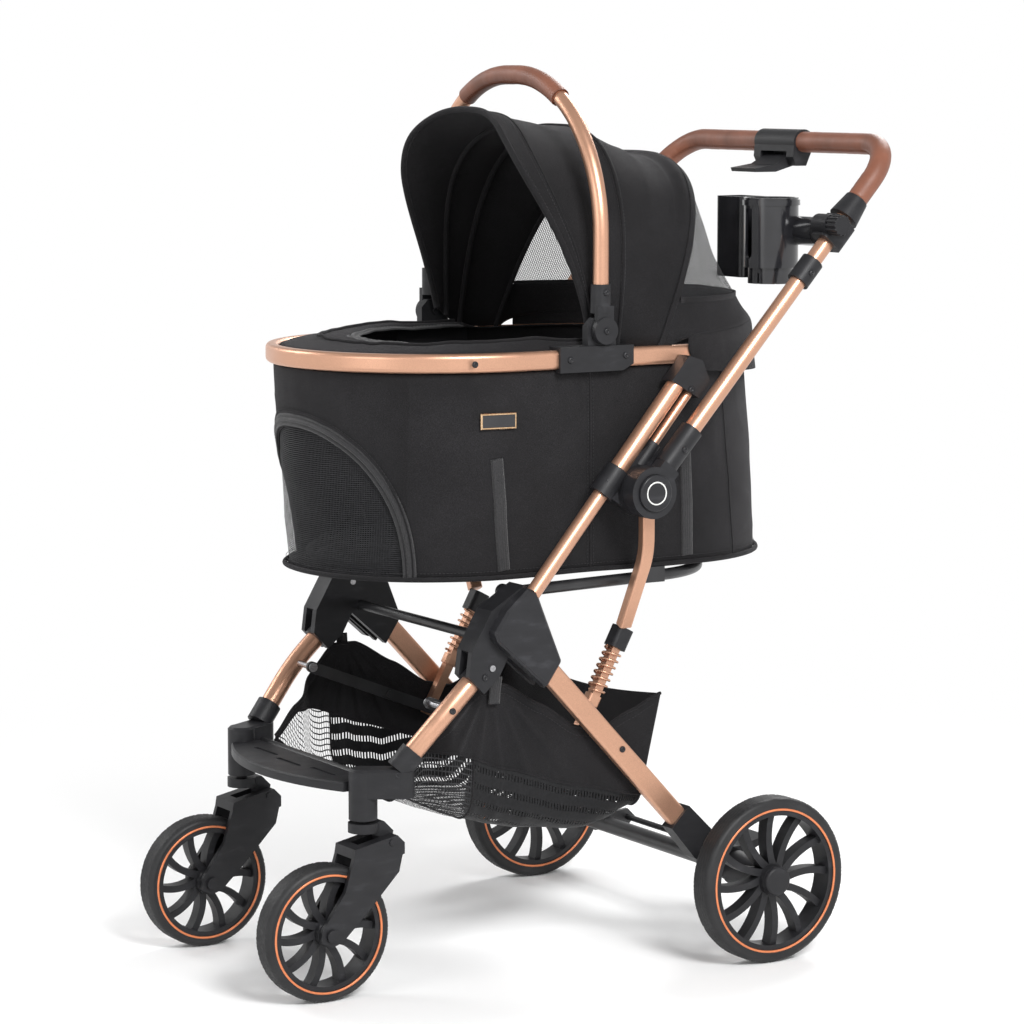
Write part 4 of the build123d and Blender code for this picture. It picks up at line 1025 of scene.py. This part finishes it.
class FillMattress(bpy.types.Operator):
    """Stuff the mattress that lies on the cabin's floor"""

    bl_idname = "stroller.mattress"
    bl_label = "Mattress"

    def execute(self, context):
        low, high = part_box("bassinet_pad")
        rows = []
        half = (high.x - low.x) / 2 - 3 * MM
        front, back = low.y + 3 * MM, high.y - 3 * MM
        levels = [(0.0, 0.02), (0.0, 0.55), (0.0, 0.9), (0.12, 0.975), (0.4, 1.0), (0.7, 0.985),
                  (0.9, 0.93), (1.0, 0.82), (1.0, 0.5), (1.0, 0.02)]
        middle = Vector((0, (front + back) / 2, 0))
        for height, share in levels:
            row = []
            for j in range(96):
                p, _ = round_ended(j / 96, half, front, back)
                q = middle.lerp(p, share)
                q.z = low.z + 1 * MM + (high.z - low.z - 6 * MM) * height
                row.append(q)
            rows.append(row)
        pad = sheet_mesh("mattress", rows, finish("lining"), closed=True)
        bottom, top = list(range(96)), list(range(9 * 96, 10 * 96))
        close = bpy.data.meshes.new("mattress")
        points = [tuple(v.co) for v in pad.data.vertices]
        faces = [tuple(p.vertices) for p in pad.data.polygons] + [tuple(reversed(bottom)), tuple(top)]
        close.from_pydata(points, [], faces)
        close.materials.append(finish("lining"))
        pad.data = close
        settle_normals(pad)
        stuff(pad, 5 * MM, sewing().mattress_swell)
        quilt(pad, low, high)
        for polygon in pad.data.polygons:
            polygon.use_smooth = True
        dress(pad, "bassinet", "pad_fabric", "bassinet_pad")
        return {"FINISHED"}


def stuff(piece, voxel, cap):
    """Remesh a closed piece and swell it with cloth pressure, no point moving further than the cap."""
    remesh = piece.modifiers.new("remesh", "REMESH")
    remesh.mode = "VOXEL"
    remesh.voxel_size = voxel
    freeze(piece)
    start = [v.co.copy() for v in piece.data.vertices]
    cloth = piece.modifiers.new("cloth", "CLOTH")
    cloth.settings.use_pressure = True
    cloth.settings.uniform_pressure_force = 4.0
    cloth.settings.effector_weights.gravity = 0.0
    cloth.point_cache.frame_start = 1
    cloth.point_cache.frame_end = 20
    scene = bpy.context.scene
    for step in range(1, 21):
        scene.frame_set(step)
    freeze(piece)
    scene.frame_set(1)
    for vertex, home in zip(piece.data.vertices, start):
        move = vertex.co - home
        if move.length > cap:
            vertex.co = home + move.normalized() * cap


def quilt(piece, low, high):
    """Presses diagonal sewn channels into the top of a pad and keeps it in its room."""
    for vertex in piece.data.vertices:
        p = vertex.co
        if p.z > (low.z + high.z) / 2:
            line = min(abs(math.sin((p.x + p.y) * 42)), abs(math.sin((p.x - p.y) * 42)))
            p.z -= 3.2 * MM * (1 - smoothstep(0.0, 0.35, line))
        p.z = min(high.z, max(low.z, p.z))
        p.x = min(high.x, max(low.x, p.x))
        p.y = min(high.y, max(low.y, p.y))


# Canopy -----------------------------------------------------------------------------------
# Each rib is an arch across the cabin: foot (y, z), crown (y, z), half width, squareness.
CANOPY_RIBS = (
    ((0, 826), (-64, 1093), 189, 2.5),
    ((15, 815), (14, 1078), 196, 2.5),
    ((38, 801), (72, 1072), 200, 2.6),
    ((62, 798), (126, 1048), 203, 2.75),
    ((82, 796), (166, 1036), 205, 2.8),
    ((98, 791), (198, 1033), 206, 2.85),
    ((110, 796), (243, 928), 210, 2.7),
    ((118, 802), (296, 853), 214, 2.35),
    ((120, 806), (333, 822), 216.6, 2.05),
    ((122, 788), (338, 798), 216.8, 2.0),
    ((136, 764), (342, 752), 216.8, 2.0),
)
REAR_SEAM = 5.0
RIM_RIB = 8.0
LAST_RIB = 10.0
NET_FLOOR_Z = 0.853


def spline(values, k):
    """A smooth value between evenly numbered ones."""
    last = len(values) - 1
    i = min(last - 1, max(0, int(k)))
    f = k - i
    a = values[max(0, i - 1)]
    b, c = values[i], values[i + 1]
    d = values[min(last, i + 2)]
    return b + 0.5 * f * (c - a + f * (2 * a - 5 * b + 4 * c - d + f * (3 * (b - c) + d - a)))


def canopy_point(k, turn, out=0.0):
    """A point on the canopy: k counts ribs from the front hoop, turn runs 0..180 degrees across."""
    foot = [spline([r[0][i] for r in CANOPY_RIBS], k) for i in (0, 1)]
    crown = [spline([r[1][i] for r in CANOPY_RIBS], k) for i in (0, 1)]
    half = spline([r[2] for r in CANOPY_RIBS], k) + out / MM
    square = spline([r[3] for r in CANOPY_RIBS], k)
    a = math.radians(turn)
    across = math.copysign(abs(math.cos(a)) ** (2 / square), math.cos(a))
    rise = abs(math.sin(a)) ** (2 / square)
    span = math.dist(foot, crown)
    reach = rise * (1 + out / MM / span)
    y = foot[0] + (crown[0] - foot[0]) * reach
    z = foot[1] + (crown[1] - foot[1]) * reach
    shoulder = math.sin(2 * a) ** 2 * max(0.0, 1 - k / 2.2) ** 1.5
    y -= 27 * shoulder
    dip = 2.2 * math.sin(math.pi * (k % 1.0)) * rise ** 2 if 1 < k < 5 else 0.0
    p = Vector((half * across, y, z - dip)) * MM
    loose = smoothstep(5.5, 7.0, k) * (1 - smoothstep(8.6, 10.0, k))
    depth = 0.7 * MM + 2.6 * MM * loose
    wave = noise.noise(Vector((p.x * 9, p.y * 13, p.z * 26))) + 0.5 * noise.noise(p * 33)
    centre = Vector((0, 0.08, 0.86))
    away = (p - centre).normalized()
    if abs(across) > 0.94 and k > 7.6:
        away.x = 0.0
    return p + away * depth * wave * rise ** 0.5


def net_end(turn):
    """The rib number where the rear net stops, at its level lower edge."""
    low, high = REAR_SEAM, RIM_RIB
    if canopy_point(low, turn).z < NET_FLOOR_Z:
        return low
    for _ in range(30):
        middle = (low + high) / 2
        if canopy_point(middle, turn).z > NET_FLOOR_Z:
            low = middle
        else:
            high = middle
    return low


def canopy_rows(start, end, turns, count, out=0.0):
    """Rows of points between two rib numbers, each a number or a function of the turn."""
    rows = []
    for i in range(count + 1):
        row = []
        for turn in turns:
            a = start(turn) if callable(start) else start
            b = end(turn) if callable(end) else end
            row.append(canopy_point(a + (b - a) * i / count, turn, out))
        rows.append(row)
    return rows


def canopy_arch(k, count, out, start=0.0, end=180.0):
    """A line across the canopy and its outward directions."""
    path, outward = [], []
    for i in range(count + 1):
        turn = start + (end - start) * i / count
        p = canopy_point(k, turn, out)
        path.append(p)
        outward.append((p - Vector((0, 0.08 if k > 1 else 0.05, 0.86))).normalized())
    return path, outward


def bend_canopy(piece):
    """Puts the piece's placement into its mesh."""
    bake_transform(piece)
    return piece


class SewCanopy(bpy.types.Operator):
    """Sew the canopy from its front hoop to the skirt behind the cabin"""

    bl_idname = "stroller.canopy"
    bl_label = "Canopy"

    def execute(self, context):
        thickness = sewing().cloth_thickness
        every = [180 * i / 96 for i in range(97)]
        top = thicken(sheet_mesh("canopy_top", canopy_rows(0.0, REAR_SEAM, every, 84), finish("canopy")),
                      thickness, 1.0)
        band = thicken(sheet_mesh("canopy_band", canopy_rows(0.0, 0.42, every, 8, 2.6 * MM),
                                  finish("canopy")),
                       thickness, 1.0)
        open_turns = [t for t in every if net_end(t) > REAR_SEAM + 0.02]
        net = sheet_mesh("canopy_net", canopy_rows(REAR_SEAM, net_end, open_turns, 40, -0.5 * MM),
                         finish("net"))
        lower = thicken(sheet_mesh("canopy_lower", canopy_rows(net_end, RIM_RIB, every, 24), finish("cloth")),
                        thickness, 1.0)
        skirt_turns = [4 + 172 * i / 110 for i in range(111)]
        skirt = thicken(sheet_mesh("canopy_skirt", canopy_rows(RIM_RIB, LAST_RIB, skirt_turns, 22, 0.2 * MM),
                                   finish("cloth")), 0.8 * MM, 1.0)
        trim = []
        for name, k, out, radius in (("hoop_piping", 0.0, 1.0, 4.2), ("band_edge", 0.42, 2.6, 1.3),
                                     ("crown_ridge", 2.0, 0.6, 2.6), ("crown_rib", 2.0, -5.0, 3.5),
                                     ("seam_rib", REAR_SEAM, -3.0, 3.5), ("front_rib", 1.0, -5.0, 3.2)):
            path, outward = canopy_arch(k, 120, out * MM)
            trim.append(sweep_piece(name, path, round_section(radius * MM), finish("canopy"), outward))
        for k, out in ((0.10, 3.2), (0.34, 3.2), (1.93, 1.0), (2.07, 1.0), (REAR_SEAM - 0.12, 0.8)):
            path, outward = canopy_arch(k, 160, out * MM, 4, 176)
            trim.append(stitch_row("canopy_stitches", path, outward, finish("black_thread")))
        path, outward = canopy_arch(REAR_SEAM, 140, 0.6 * MM)
        trim.append(sweep_piece("seam_binding", path, strip_section(5 * MM, 0.9 * MM), finish("cloth"),
                                outward))
        level, outward = [], []
        for turn in open_turns:
            p = canopy_point(net_end(turn), turn, 0.4 * MM)
            level.append(p)
            outward.append((p - Vector((0, 0.08, 0.86))).normalized())
        trim.append(sweep_piece("net_binding", level, strip_section(4 * MM, 0.9 * MM), finish("cloth"),
                                outward))
        trim = join_pieces("canopy_trim", trim)
        for piece in (top, band, net, lower, skirt, trim):
            bend_canopy(piece)
        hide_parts("canopy_front")
        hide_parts("canopy_rear")
        return {"FINISHED"}


# Basket -----------------------------------------------------------------------------------
BASKET_TOP = ((-262, 268), (-232, 305), (-160, 378), (-126, 378), (-71, 347), (-18, 314), (21, 306),
              (65, 326),
              (112, 345))
BASKET_SEAM = ((-262, 262), (-228, 298), (-194, 296), (-119, 269), (-23, 239), (67, 220), (112, 216))
BASKET_KEEL = ((-262, 236), (-183, 208), (-87, 184), (11, 171), (62, 178), (112, 198))
BASKET_HOOK = Vector((0, -0.143, 0.388))
BASKET_FRONT, NET_SPLIT, BASKET_BACK = -0.262, -0.168, 0.113
CORNER = 0.040        # radius under the basket's sides


def between(table, y):
    """A height read off a short table of places, in metres."""
    for (y0, z0), (y1, z1) in zip(table, table[1:]):
        if y / MM <= y1:
            f = smoothstep(y0, y1, y / MM) * 0.35 + 0.65 * max(0.0, (y / MM - y0) / (y1 - y0))
            return (z0 + (z1 - z0) * f) * MM
    return table[-1][1] * MM


def lean_back(y, z):
    """The rear panel leans forward towards its foot."""
    top, keel = between(BASKET_TOP, y), between(BASKET_KEEL, y)
    drop = min(1.0, max(0.0, (top - z) / (top - keel)))
    return y - 0.034 * drop * smoothstep(0.02, 0.113, y)


def basket_side(y, z, hand):
    """A point on the side cloth, which fans out in folds from its hook."""
    half = 0.1665 + 0.0228 * smoothstep(-0.222, -0.198, y)
    away = math.hypot(y - BASKET_HOOK.y, z - BASKET_HOOK.z)
    ray = math.atan2(z - BASKET_HOOK.z, y - BASKET_HOOK.y)
    fan = ((0.5 + 0.5 * math.sin(ray * 21 + hand)) ** 3 * smoothstep(0.02, 0.06, away)
           * (1 - smoothstep(0.12, 0.26, away)))
    p = Vector((hand * half, y, z))
    slack = 0.5 + 0.5 * noise.noise(p * 17 + Vector((0, hand * 3, 0)))
    flare = 0.006 * (1 - smoothstep(0.0, 0.05, away))
    return Vector((hand * (half + 2.4 * MM * fan + 1.4 * MM * slack + flare), lean_back(y, z), z))


def basket_under(y, share):
    """A point on the net that runs from one side's seam to the other's, share 0 to 1."""
    hand = 1 if share < 0.5 else -1
    part = 2 * min(share, 1 - share)
    seam, keel = between(BASKET_SEAM, y), between(BASKET_KEEL, y)
    edge = basket_side(y, seam, hand)
    half = abs(edge.x)
    bend = min(CORNER, seam - keel)
    if part < 0.3:
        z = seam + (keel + bend - seam) * part / 0.3
        x = half - 3 * MM * part / 0.3
    elif part < 0.6:
        a = (part - 0.3) / 0.3 * math.pi / 2
        x = half - 3 * MM - bend + bend * math.cos(a)
        z = keel + bend - bend * math.sin(a)
    else:
        x = (half - 3 * MM - bend) * (1 - (part - 0.6) / 0.4)
        z = keel
    p = Vector((hand * x, lean_back(y, z), z))
    wave = noise.noise(p * 13) + 0.5 * noise.noise(p * 31)
    p.z += 2.6 * MM * wave * smoothstep(0.05, 0.45, part)
    p.x += hand * 1.3 * MM * wave * smoothstep(0.02, 0.2, part) * (1 - smoothstep(0.5, 0.7, part))
    return p


def basket_rows(y0, y1, columns, count, place):
    """Rows of points between two places along the basket."""
    return [[place(y0 + (y1 - y0) * j / columns, i / count) for j in range(columns + 1)]
            for i in range(count + 1)]


def end_panel(name, y, head_z, kind):
    """A panel that closes an end of the basket, from its keel up to a head line."""
    rows = []
    for i in range(23):
        f = i / 22
        row = []
        for j in range(49):
            foot = basket_under(y, j / 48)
            head = Vector((foot.x, y, max(foot.z, head_z(foot.x))))
            p = foot.lerp(head, f)
            p.y += 2.0 * MM * noise.noise(p * 18) * math.sin(math.pi * f)
            row.append(p)
        rows.append(row)
    return sheet_mesh(name, rows, finish(kind))


class SewBasket(bpy.types.Operator):
    """Sew the storage basket and hang it from its hooks"""

    bl_idname = "stroller.basket"
    bl_label = "Storage basket"

    def execute(self, context):
        sides, edges = [], []
        for hand in (1, -1):
            def cloth(y, f):
                top, seam = between(BASKET_TOP, y), between(BASKET_SEAM, y)
                return basket_side(y, top + (seam - top) * f, hand)
            rows = basket_rows(BASKET_FRONT, BASKET_BACK, 150, 40, cloth)
            sides.append(thicken(sheet_mesh("basket_side", rows, finish("cloth")), 1.0 * MM, 0.0))
            frame_lines = [(rows[0], 2.2 * MM), (rows[-1], 1.8 * MM)]
            for line, radius in frame_lines:
                edges.append(sweep_piece("basket_edge", line, round_section(radius), finish("cloth")))
            hem = [basket_side(p.y, p.z - 11 * MM, hand) + Vector((hand * 0.6 * MM, 0, 0))
                   for p in rows[0][6:-3]]
            edges.append(stitch_row("hem_stitches", hem, [Vector((hand, 0, 0))] * len(hem),
                                    finish("black_thread")))
            strap = evened([Vector((hand * 0.1985, -0.143, 0.356)), Vector((hand * 0.2005, -0.1425, 0.374)),
                            Vector((hand * 0.2035, -0.142, 0.391))], 2.5 * MM)
            edges.append(sweep_piece("hook_strap", strap, strip_section(8 * MM, 1.2 * MM), finish("webbing"),
                                     [Vector((hand, 0, 0))] * len(strap)))
        floor = sheet_mesh("basket_floor", basket_rows(NET_SPLIT, BASKET_BACK, 70, 90, basket_under),
                           finish("dense_net"))
        front = sheet_mesh("basket_front_net", basket_rows(BASKET_FRONT, NET_SPLIT, 36, 90, basket_under),
                           finish("pale_net"))
        back = end_panel("basket_back", BASKET_BACK,
                         lambda x: 0.345 - 0.014 * math.cos(x / 0.19 * math.pi / 2),
                         "cloth")
        lip = end_panel("basket_lip", BASKET_FRONT, lambda x: 0.246 + 0.022 * abs(x / 0.166) ** 2, "cloth")
        for y, radius in ((NET_SPLIT, 1.5), (BASKET_BACK, 2.2), (BASKET_FRONT, 2.2)):
            path = [basket_under(y, i / 80) for i in range(81)]
            edges.append(sweep_piece("cross_seam", path, round_section(radius * MM), finish("cloth")))
        edges = join_pieces("basket_edges", edges)
        sides = join_pieces("basket_sides", sides)
        for piece in (sides, floor, front, back, lip, edges):
            dress(piece, "frame", "black_fabric")
        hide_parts("storage_basket")
        return {"FINISHED"}


# Grips ------------------------------------------------------------------------------------
HANDLE_X = 0.250
HANDLE_HUB = Vector((0.0, 0.051, 0.617))
HANDLE_RISE = Vector((0.0, 0.667, 0.745))
GRIP_START = 0.4837
BAR_PLACE = 0.578
LEVER_HALF = 0.046


def leather_sleeve(name, path, outward, radius):
    """Leather drawn round a bar: it puckers on the seam side."""
    def section(i):
        ring = []
        for a, b in round_section(1.0, 28):
            seam_side = smoothstep(0.1, 0.9, b)
            place = path[i]
            pucker = noise.noise(Vector((i * 0.9, a * 1.2, b * 1.2)) * 0.8)
            soft = noise.noise(place * 60)
            swell = radius * (1 + 0.030 * pucker * seam_side + 0.012 * soft
                              - 0.02 * smoothstep(0.965, 1.0, b))
            ring.append((a * swell, b * swell))
        return ring
    return sweep_piece(name, path, section, finish("leather"), outward)


def lacing(name, path, outward, radius):
    """The whip stitch that closes the leather."""
    thread_path, up = [], []
    for i, (place, (_, side, out)) in enumerate(zip(path, path_frames(path, outward))):
        aside = (2.3 if i % 2 else -2.3) * MM
        thread_path.append(place + side * aside + out * (radius + 0.15 * MM))
        up.append(out)
    return sweep_piece(name, thread_path, round_section(0.5 * MM, 6), finish("brown_thread"), up)


class WrapGrips(bpy.types.Operator):
    """Wrap the push bar and the carrying handle in stitched leather"""

    bl_idname = "stroller.grips"
    bl_label = "Leather grips"

    def execute(self, context):
        pieces = []
        for hand in (1, -1):
            across = Vector((hand * HANDLE_X, 0, 0))
            corner = HANDLE_HUB + HANDLE_RISE * BAR_PLACE + across
            start = HANDLE_HUB + HANDLE_RISE * GRIP_START + across
            end = Vector((hand * (LEVER_HALF + 0.4 * MM), corner.y, corner.z))
            path = filleted([start, corner, end], 0.060, 2.6 * MM)
            outward = [Vector((-hand * 0.25, -0.72, -0.65))] * len(path)
            pieces.append(leather_sleeve("sleeve", path, outward, 14.0 * MM))
            pieces.append(lacing("lacing", path, outward, 13.6 * MM))
        dress(join_pieces("push_bar_leather", pieces), "handle", "leather", "handle_grip")
        low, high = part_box("bail_grip")
        bend, turn = 0.200, 31.0
        centre_z = 1.138 - bend
        path = []
        for i in range(25):
            a = math.radians(-turn + turn * i / 24)
            path.append(Vector((-0.0126 + bend * math.sin(a), 0.005, centre_z + bend * math.cos(a))))
        path += [Vector((-p.x, p.y, p.z)) for p in reversed(path)]
        path = evened(path, 2.6 * MM)
        down = []
        for p in path:
            a = math.atan2(p.x, p.z - centre_z)
            down.append(Vector((-0.8 * math.sin(a), -0.6, -0.8 * math.cos(a))))
        sleeve = leather_sleeve("bail_sleeve", path, down, 12.4 * MM)
        thread = lacing("bail_lacing", path, down, 12.1 * MM)
        dress(join_pieces("bail_leather", [sleeve, thread]), "bail", "leather", "bail_grip")
        return {"FINISHED"}


# Fittings ---------------------------------------------------------------------------------
def bolt_head(place, outward, radius=4.2 * MM):
    """A domed socket screw."""
    up = Vector(outward).normalized()
    side = up.orthogonal().normalized()
    other = up.cross(side)
    outline = [(1.0, -0.1), (1.0, 0.16), (0.86, 0.42), (0.62, 0.56), (0.46, 0.58), (0.42, 0.30), (0.0, 0.28)]
    points, faces = [], []
    steps = 18
    for i in range(steps):
        a = 2 * math.pi * i / steps
        for r, h in outline[:-1]:
            points.append(Vector(place) + (side * math.cos(a) + other * math.sin(a)) * r * radius + up * h * radius)
    size = len(outline) - 1
    points.append(Vector(place) + up * outline[-1][1] * radius)
    for i in range(steps):
        k = (i + 1) % steps
        for j in range(size - 1):
            faces.append((i * size + j, k * size + j, k * size + j + 1, i * size + j + 1))
        faces.append((i * size + size - 1, k * size + size - 1, steps * size))
    return make_piece("bolt", points, faces, finish("soft_moulding"))


BOLTS = {
    "frame": (((222.4, -148, 437), (1, 0, 0)), ((222.2, -170, 395), (1, 0, 0)),
              ((217.6, -214, 356), (0.9, -0.3, 0.3)),
              ((201, -283, 280), (0.9, -0.35, 0.2))),
    "upper_frame": (((240.2, 124, 742), (1, 0, 0)), ((238, 0.6, 632), (1, 0, 0)),
                    ((240, -4, 617), (1, 0, 0))),
    "rear_legs": (((212.8, 40, 282), (1, 0, 0)),),
    "bassinet": (((215.8, -180, 785), (1, 0, 0)), ((220.2, -44, 785), (1, 0, 0)),
                 ((220.2, 38, 788), (1, 0, 0))),
    "bail": (((227.2, 5, 820), (1, 0, 0)), ((225.8, 5, 868), (1, 0, 0))),
    "handle": (((265.2, 98, 669), (1, 0, 0)), ((265.2, 292, 886), (1, 0, 0))),
}
BODY_SLOT = "black_plastic"


class FitTrim(bpy.types.Operator):
    """Fit the screws and the plain ring on each hub"""

    bl_idname = "stroller.trim"
    bl_label = "Screws and hub rings"

    def execute(self, context):
        for body, places in BOLTS.items():
            heads = []
            for (x, y, z), (nx, ny, nz) in places:
                for hand in (1, -1):
                    heads.append(bolt_head(Vector((hand * x, y, z)) * MM, (hand * nx, ny, nz)))
            dress(join_pieces(f"screws_{body}", heads), body, BODY_SLOT)
        for side, letter, hand in SIDES:
            low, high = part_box(f"hub_button_{side}")
            face = high.x if hand > 0 else low.x
            centre = Vector((face, (low.y + high.y) / 2, (low.z + high.z) / 2))
            outline = [(-0.3 * MM * hand, 13 * MM), (0.35 * MM * hand, 13.2 * MM),
                       (0.35 * MM * hand, 14.8 * MM), (-0.3 * MM * hand, 15 * MM)]
            ring = lathe_piece("ring", centre, outline, 96, finish("emblem"))
            dress(join_pieces(f"hub_ring_{side}", [ring]), f"hub_button_{letter}", BODY_SLOT)
        return {"FINISHED"}


class PaintFrame(bpy.types.Operator):
    """Give every part of the frame its finish"""

    bl_idname = "stroller.paint"
    bl_label = "Frame finishes"

    def execute(self, context):
        for kind, names in NODE_FINISH.items():
            for name in names.split():
                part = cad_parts[name]
                if not part.material_slots:
                    part.data.materials.append(finish(kind))
                for place in part.material_slots:
                    place.material = finish(kind)
        return {"FINISHED"}


# Stage ------------------------------------------------------------------------------------
class SetStage(bpy.types.Operator):
    """Set the floor, the studio lamps and the camera"""

    bl_idname = "stroller.stage"
    bl_label = "Stage"

    def execute(self, context):
        size = 40.0
        rows = [[Vector((x, y, -0.0005)) for x in (-size, 0, size)] for y in (-size, 0, size)]
        floor = sheet_mesh("floor", rows, finish("floor"))
        world = bpy.data.worlds.new("studio")
        world.use_nodes = True
        tree = world.node_tree
        background = tree.nodes["Background"]
        place = tree.nodes.new("ShaderNodeTexCoord")
        split = tree.nodes.new("ShaderNodeSeparateXYZ")
        dome = tree.nodes.new("ShaderNodeMapRange")
        dome.inputs["From Min"].default_value = 0.16
        dome.inputs["From Max"].default_value = 0.5
        dome.inputs["To Min"].default_value = 1.0
        dome.inputs["To Max"].default_value = 0.42
        tree.links.new(place.outputs["Generated"], split.inputs["Vector"])
        tree.links.new(split.outputs["Z"], dome.inputs["Value"])
        tree.links.new(dome.outputs["Result"], background.inputs["Strength"])
        background.inputs["Color"].default_value = (1.0, 1.0, 1.0, 1.0)
        context.scene.world = world
        aim = Vector((0, 0, 0.55))
        for name, place, power, width in (
                ("key_lamp", (3.6, -0.4, 3.0), 170, 1.3), ("fill_lamp", (1.2, -4.0, 1.8), 34, 2.0),
                ("back_lamp", (-1.8, 2.8, 3.0), 80, 1.6), ("rim_lamp", (-2.8, -2.2, 2.6), 40, 1.4)):
            lamp = bpy.data.lights.new(name, "AREA")
            lamp.energy = power
            lamp.size = width
            holder = bpy.data.objects.new(name, lamp)
            holder.location = place
            holder.rotation_euler = (aim - Vector(place)).to_track_quat("-Z", "Y").to_euler()
            context.scene.collection.objects.link(holder)
        lens = bpy.data.cameras.new("camera")
        lens.lens = 124.684
        lens.sensor_width = 36.0
        lens.clip_end = 60.0
        camera = bpy.data.objects.new("camera", lens)
        camera.location = (3.956975, -2.393775, 1.148022)
        camera.rotation_euler = (math.radians(90 - 7.152), 0.0, math.radians(58.789))
        context.scene.collection.objects.link(camera)
        context.scene.camera = camera
        context.scene.view_settings.view_transform = "Standard"
        return {"FINISHED"}


# Panel ------------------------------------------------------------------------------------
class StrollerPanel(bpy.types.Panel):
    """Lists the steps in the order in which they are made"""

    bl_idname = "VIEW3D_PT_stroller"
    bl_label = "Pet stroller"
    bl_space_type = "VIEW_3D"
    bl_region_type = "UI"
    bl_category = "Stroller"

    def draw(self, context):
        for step in STEPS:
            self.layout.operator(step.bl_idname)
        for settings in (finishes(), sewing(), context.scene.stroller_wheels):
            for name in settings.__annotations__:
                self.layout.prop(settings, name)


STEPS = (PaintFrame, SewTyres, SewCabin, FillMattress, SewCanopy, SewBasket, WrapGrips, FitTrim, SetStage)
SETTINGS = (StrollerFinishes, StrollerSewing, StrollerWheels)


def register():
    for kind in (*SETTINGS, *STEPS, StrollerPanel):
        bpy.utils.register_class(kind)
    bpy.types.Scene.stroller_finishes = PointerProperty(type=StrollerFinishes)
    bpy.types.Scene.stroller_sewing = PointerProperty(type=StrollerSewing)
    bpy.types.Scene.stroller_wheels = PointerProperty(type=StrollerWheels)


def unregister():
    del bpy.types.Scene.stroller_wheels
    del bpy.types.Scene.stroller_sewing
    del bpy.types.Scene.stroller_finishes
    for kind in reversed((*SETTINGS, *STEPS, StrollerPanel)):
        bpy.utils.unregister_class(kind)


def main():
    register()
    bpy.ops.stroller.paint()
    bpy.ops.stroller.tyres()
    bpy.ops.stroller.cabin()
    bpy.ops.stroller.mattress()
    bpy.ops.stroller.canopy()
    bpy.ops.stroller.basket()
    bpy.ops.stroller.grips()
    bpy.ops.stroller.trim()
    bpy.ops.stroller.stage()


if __name__ == "__main__":
    main()
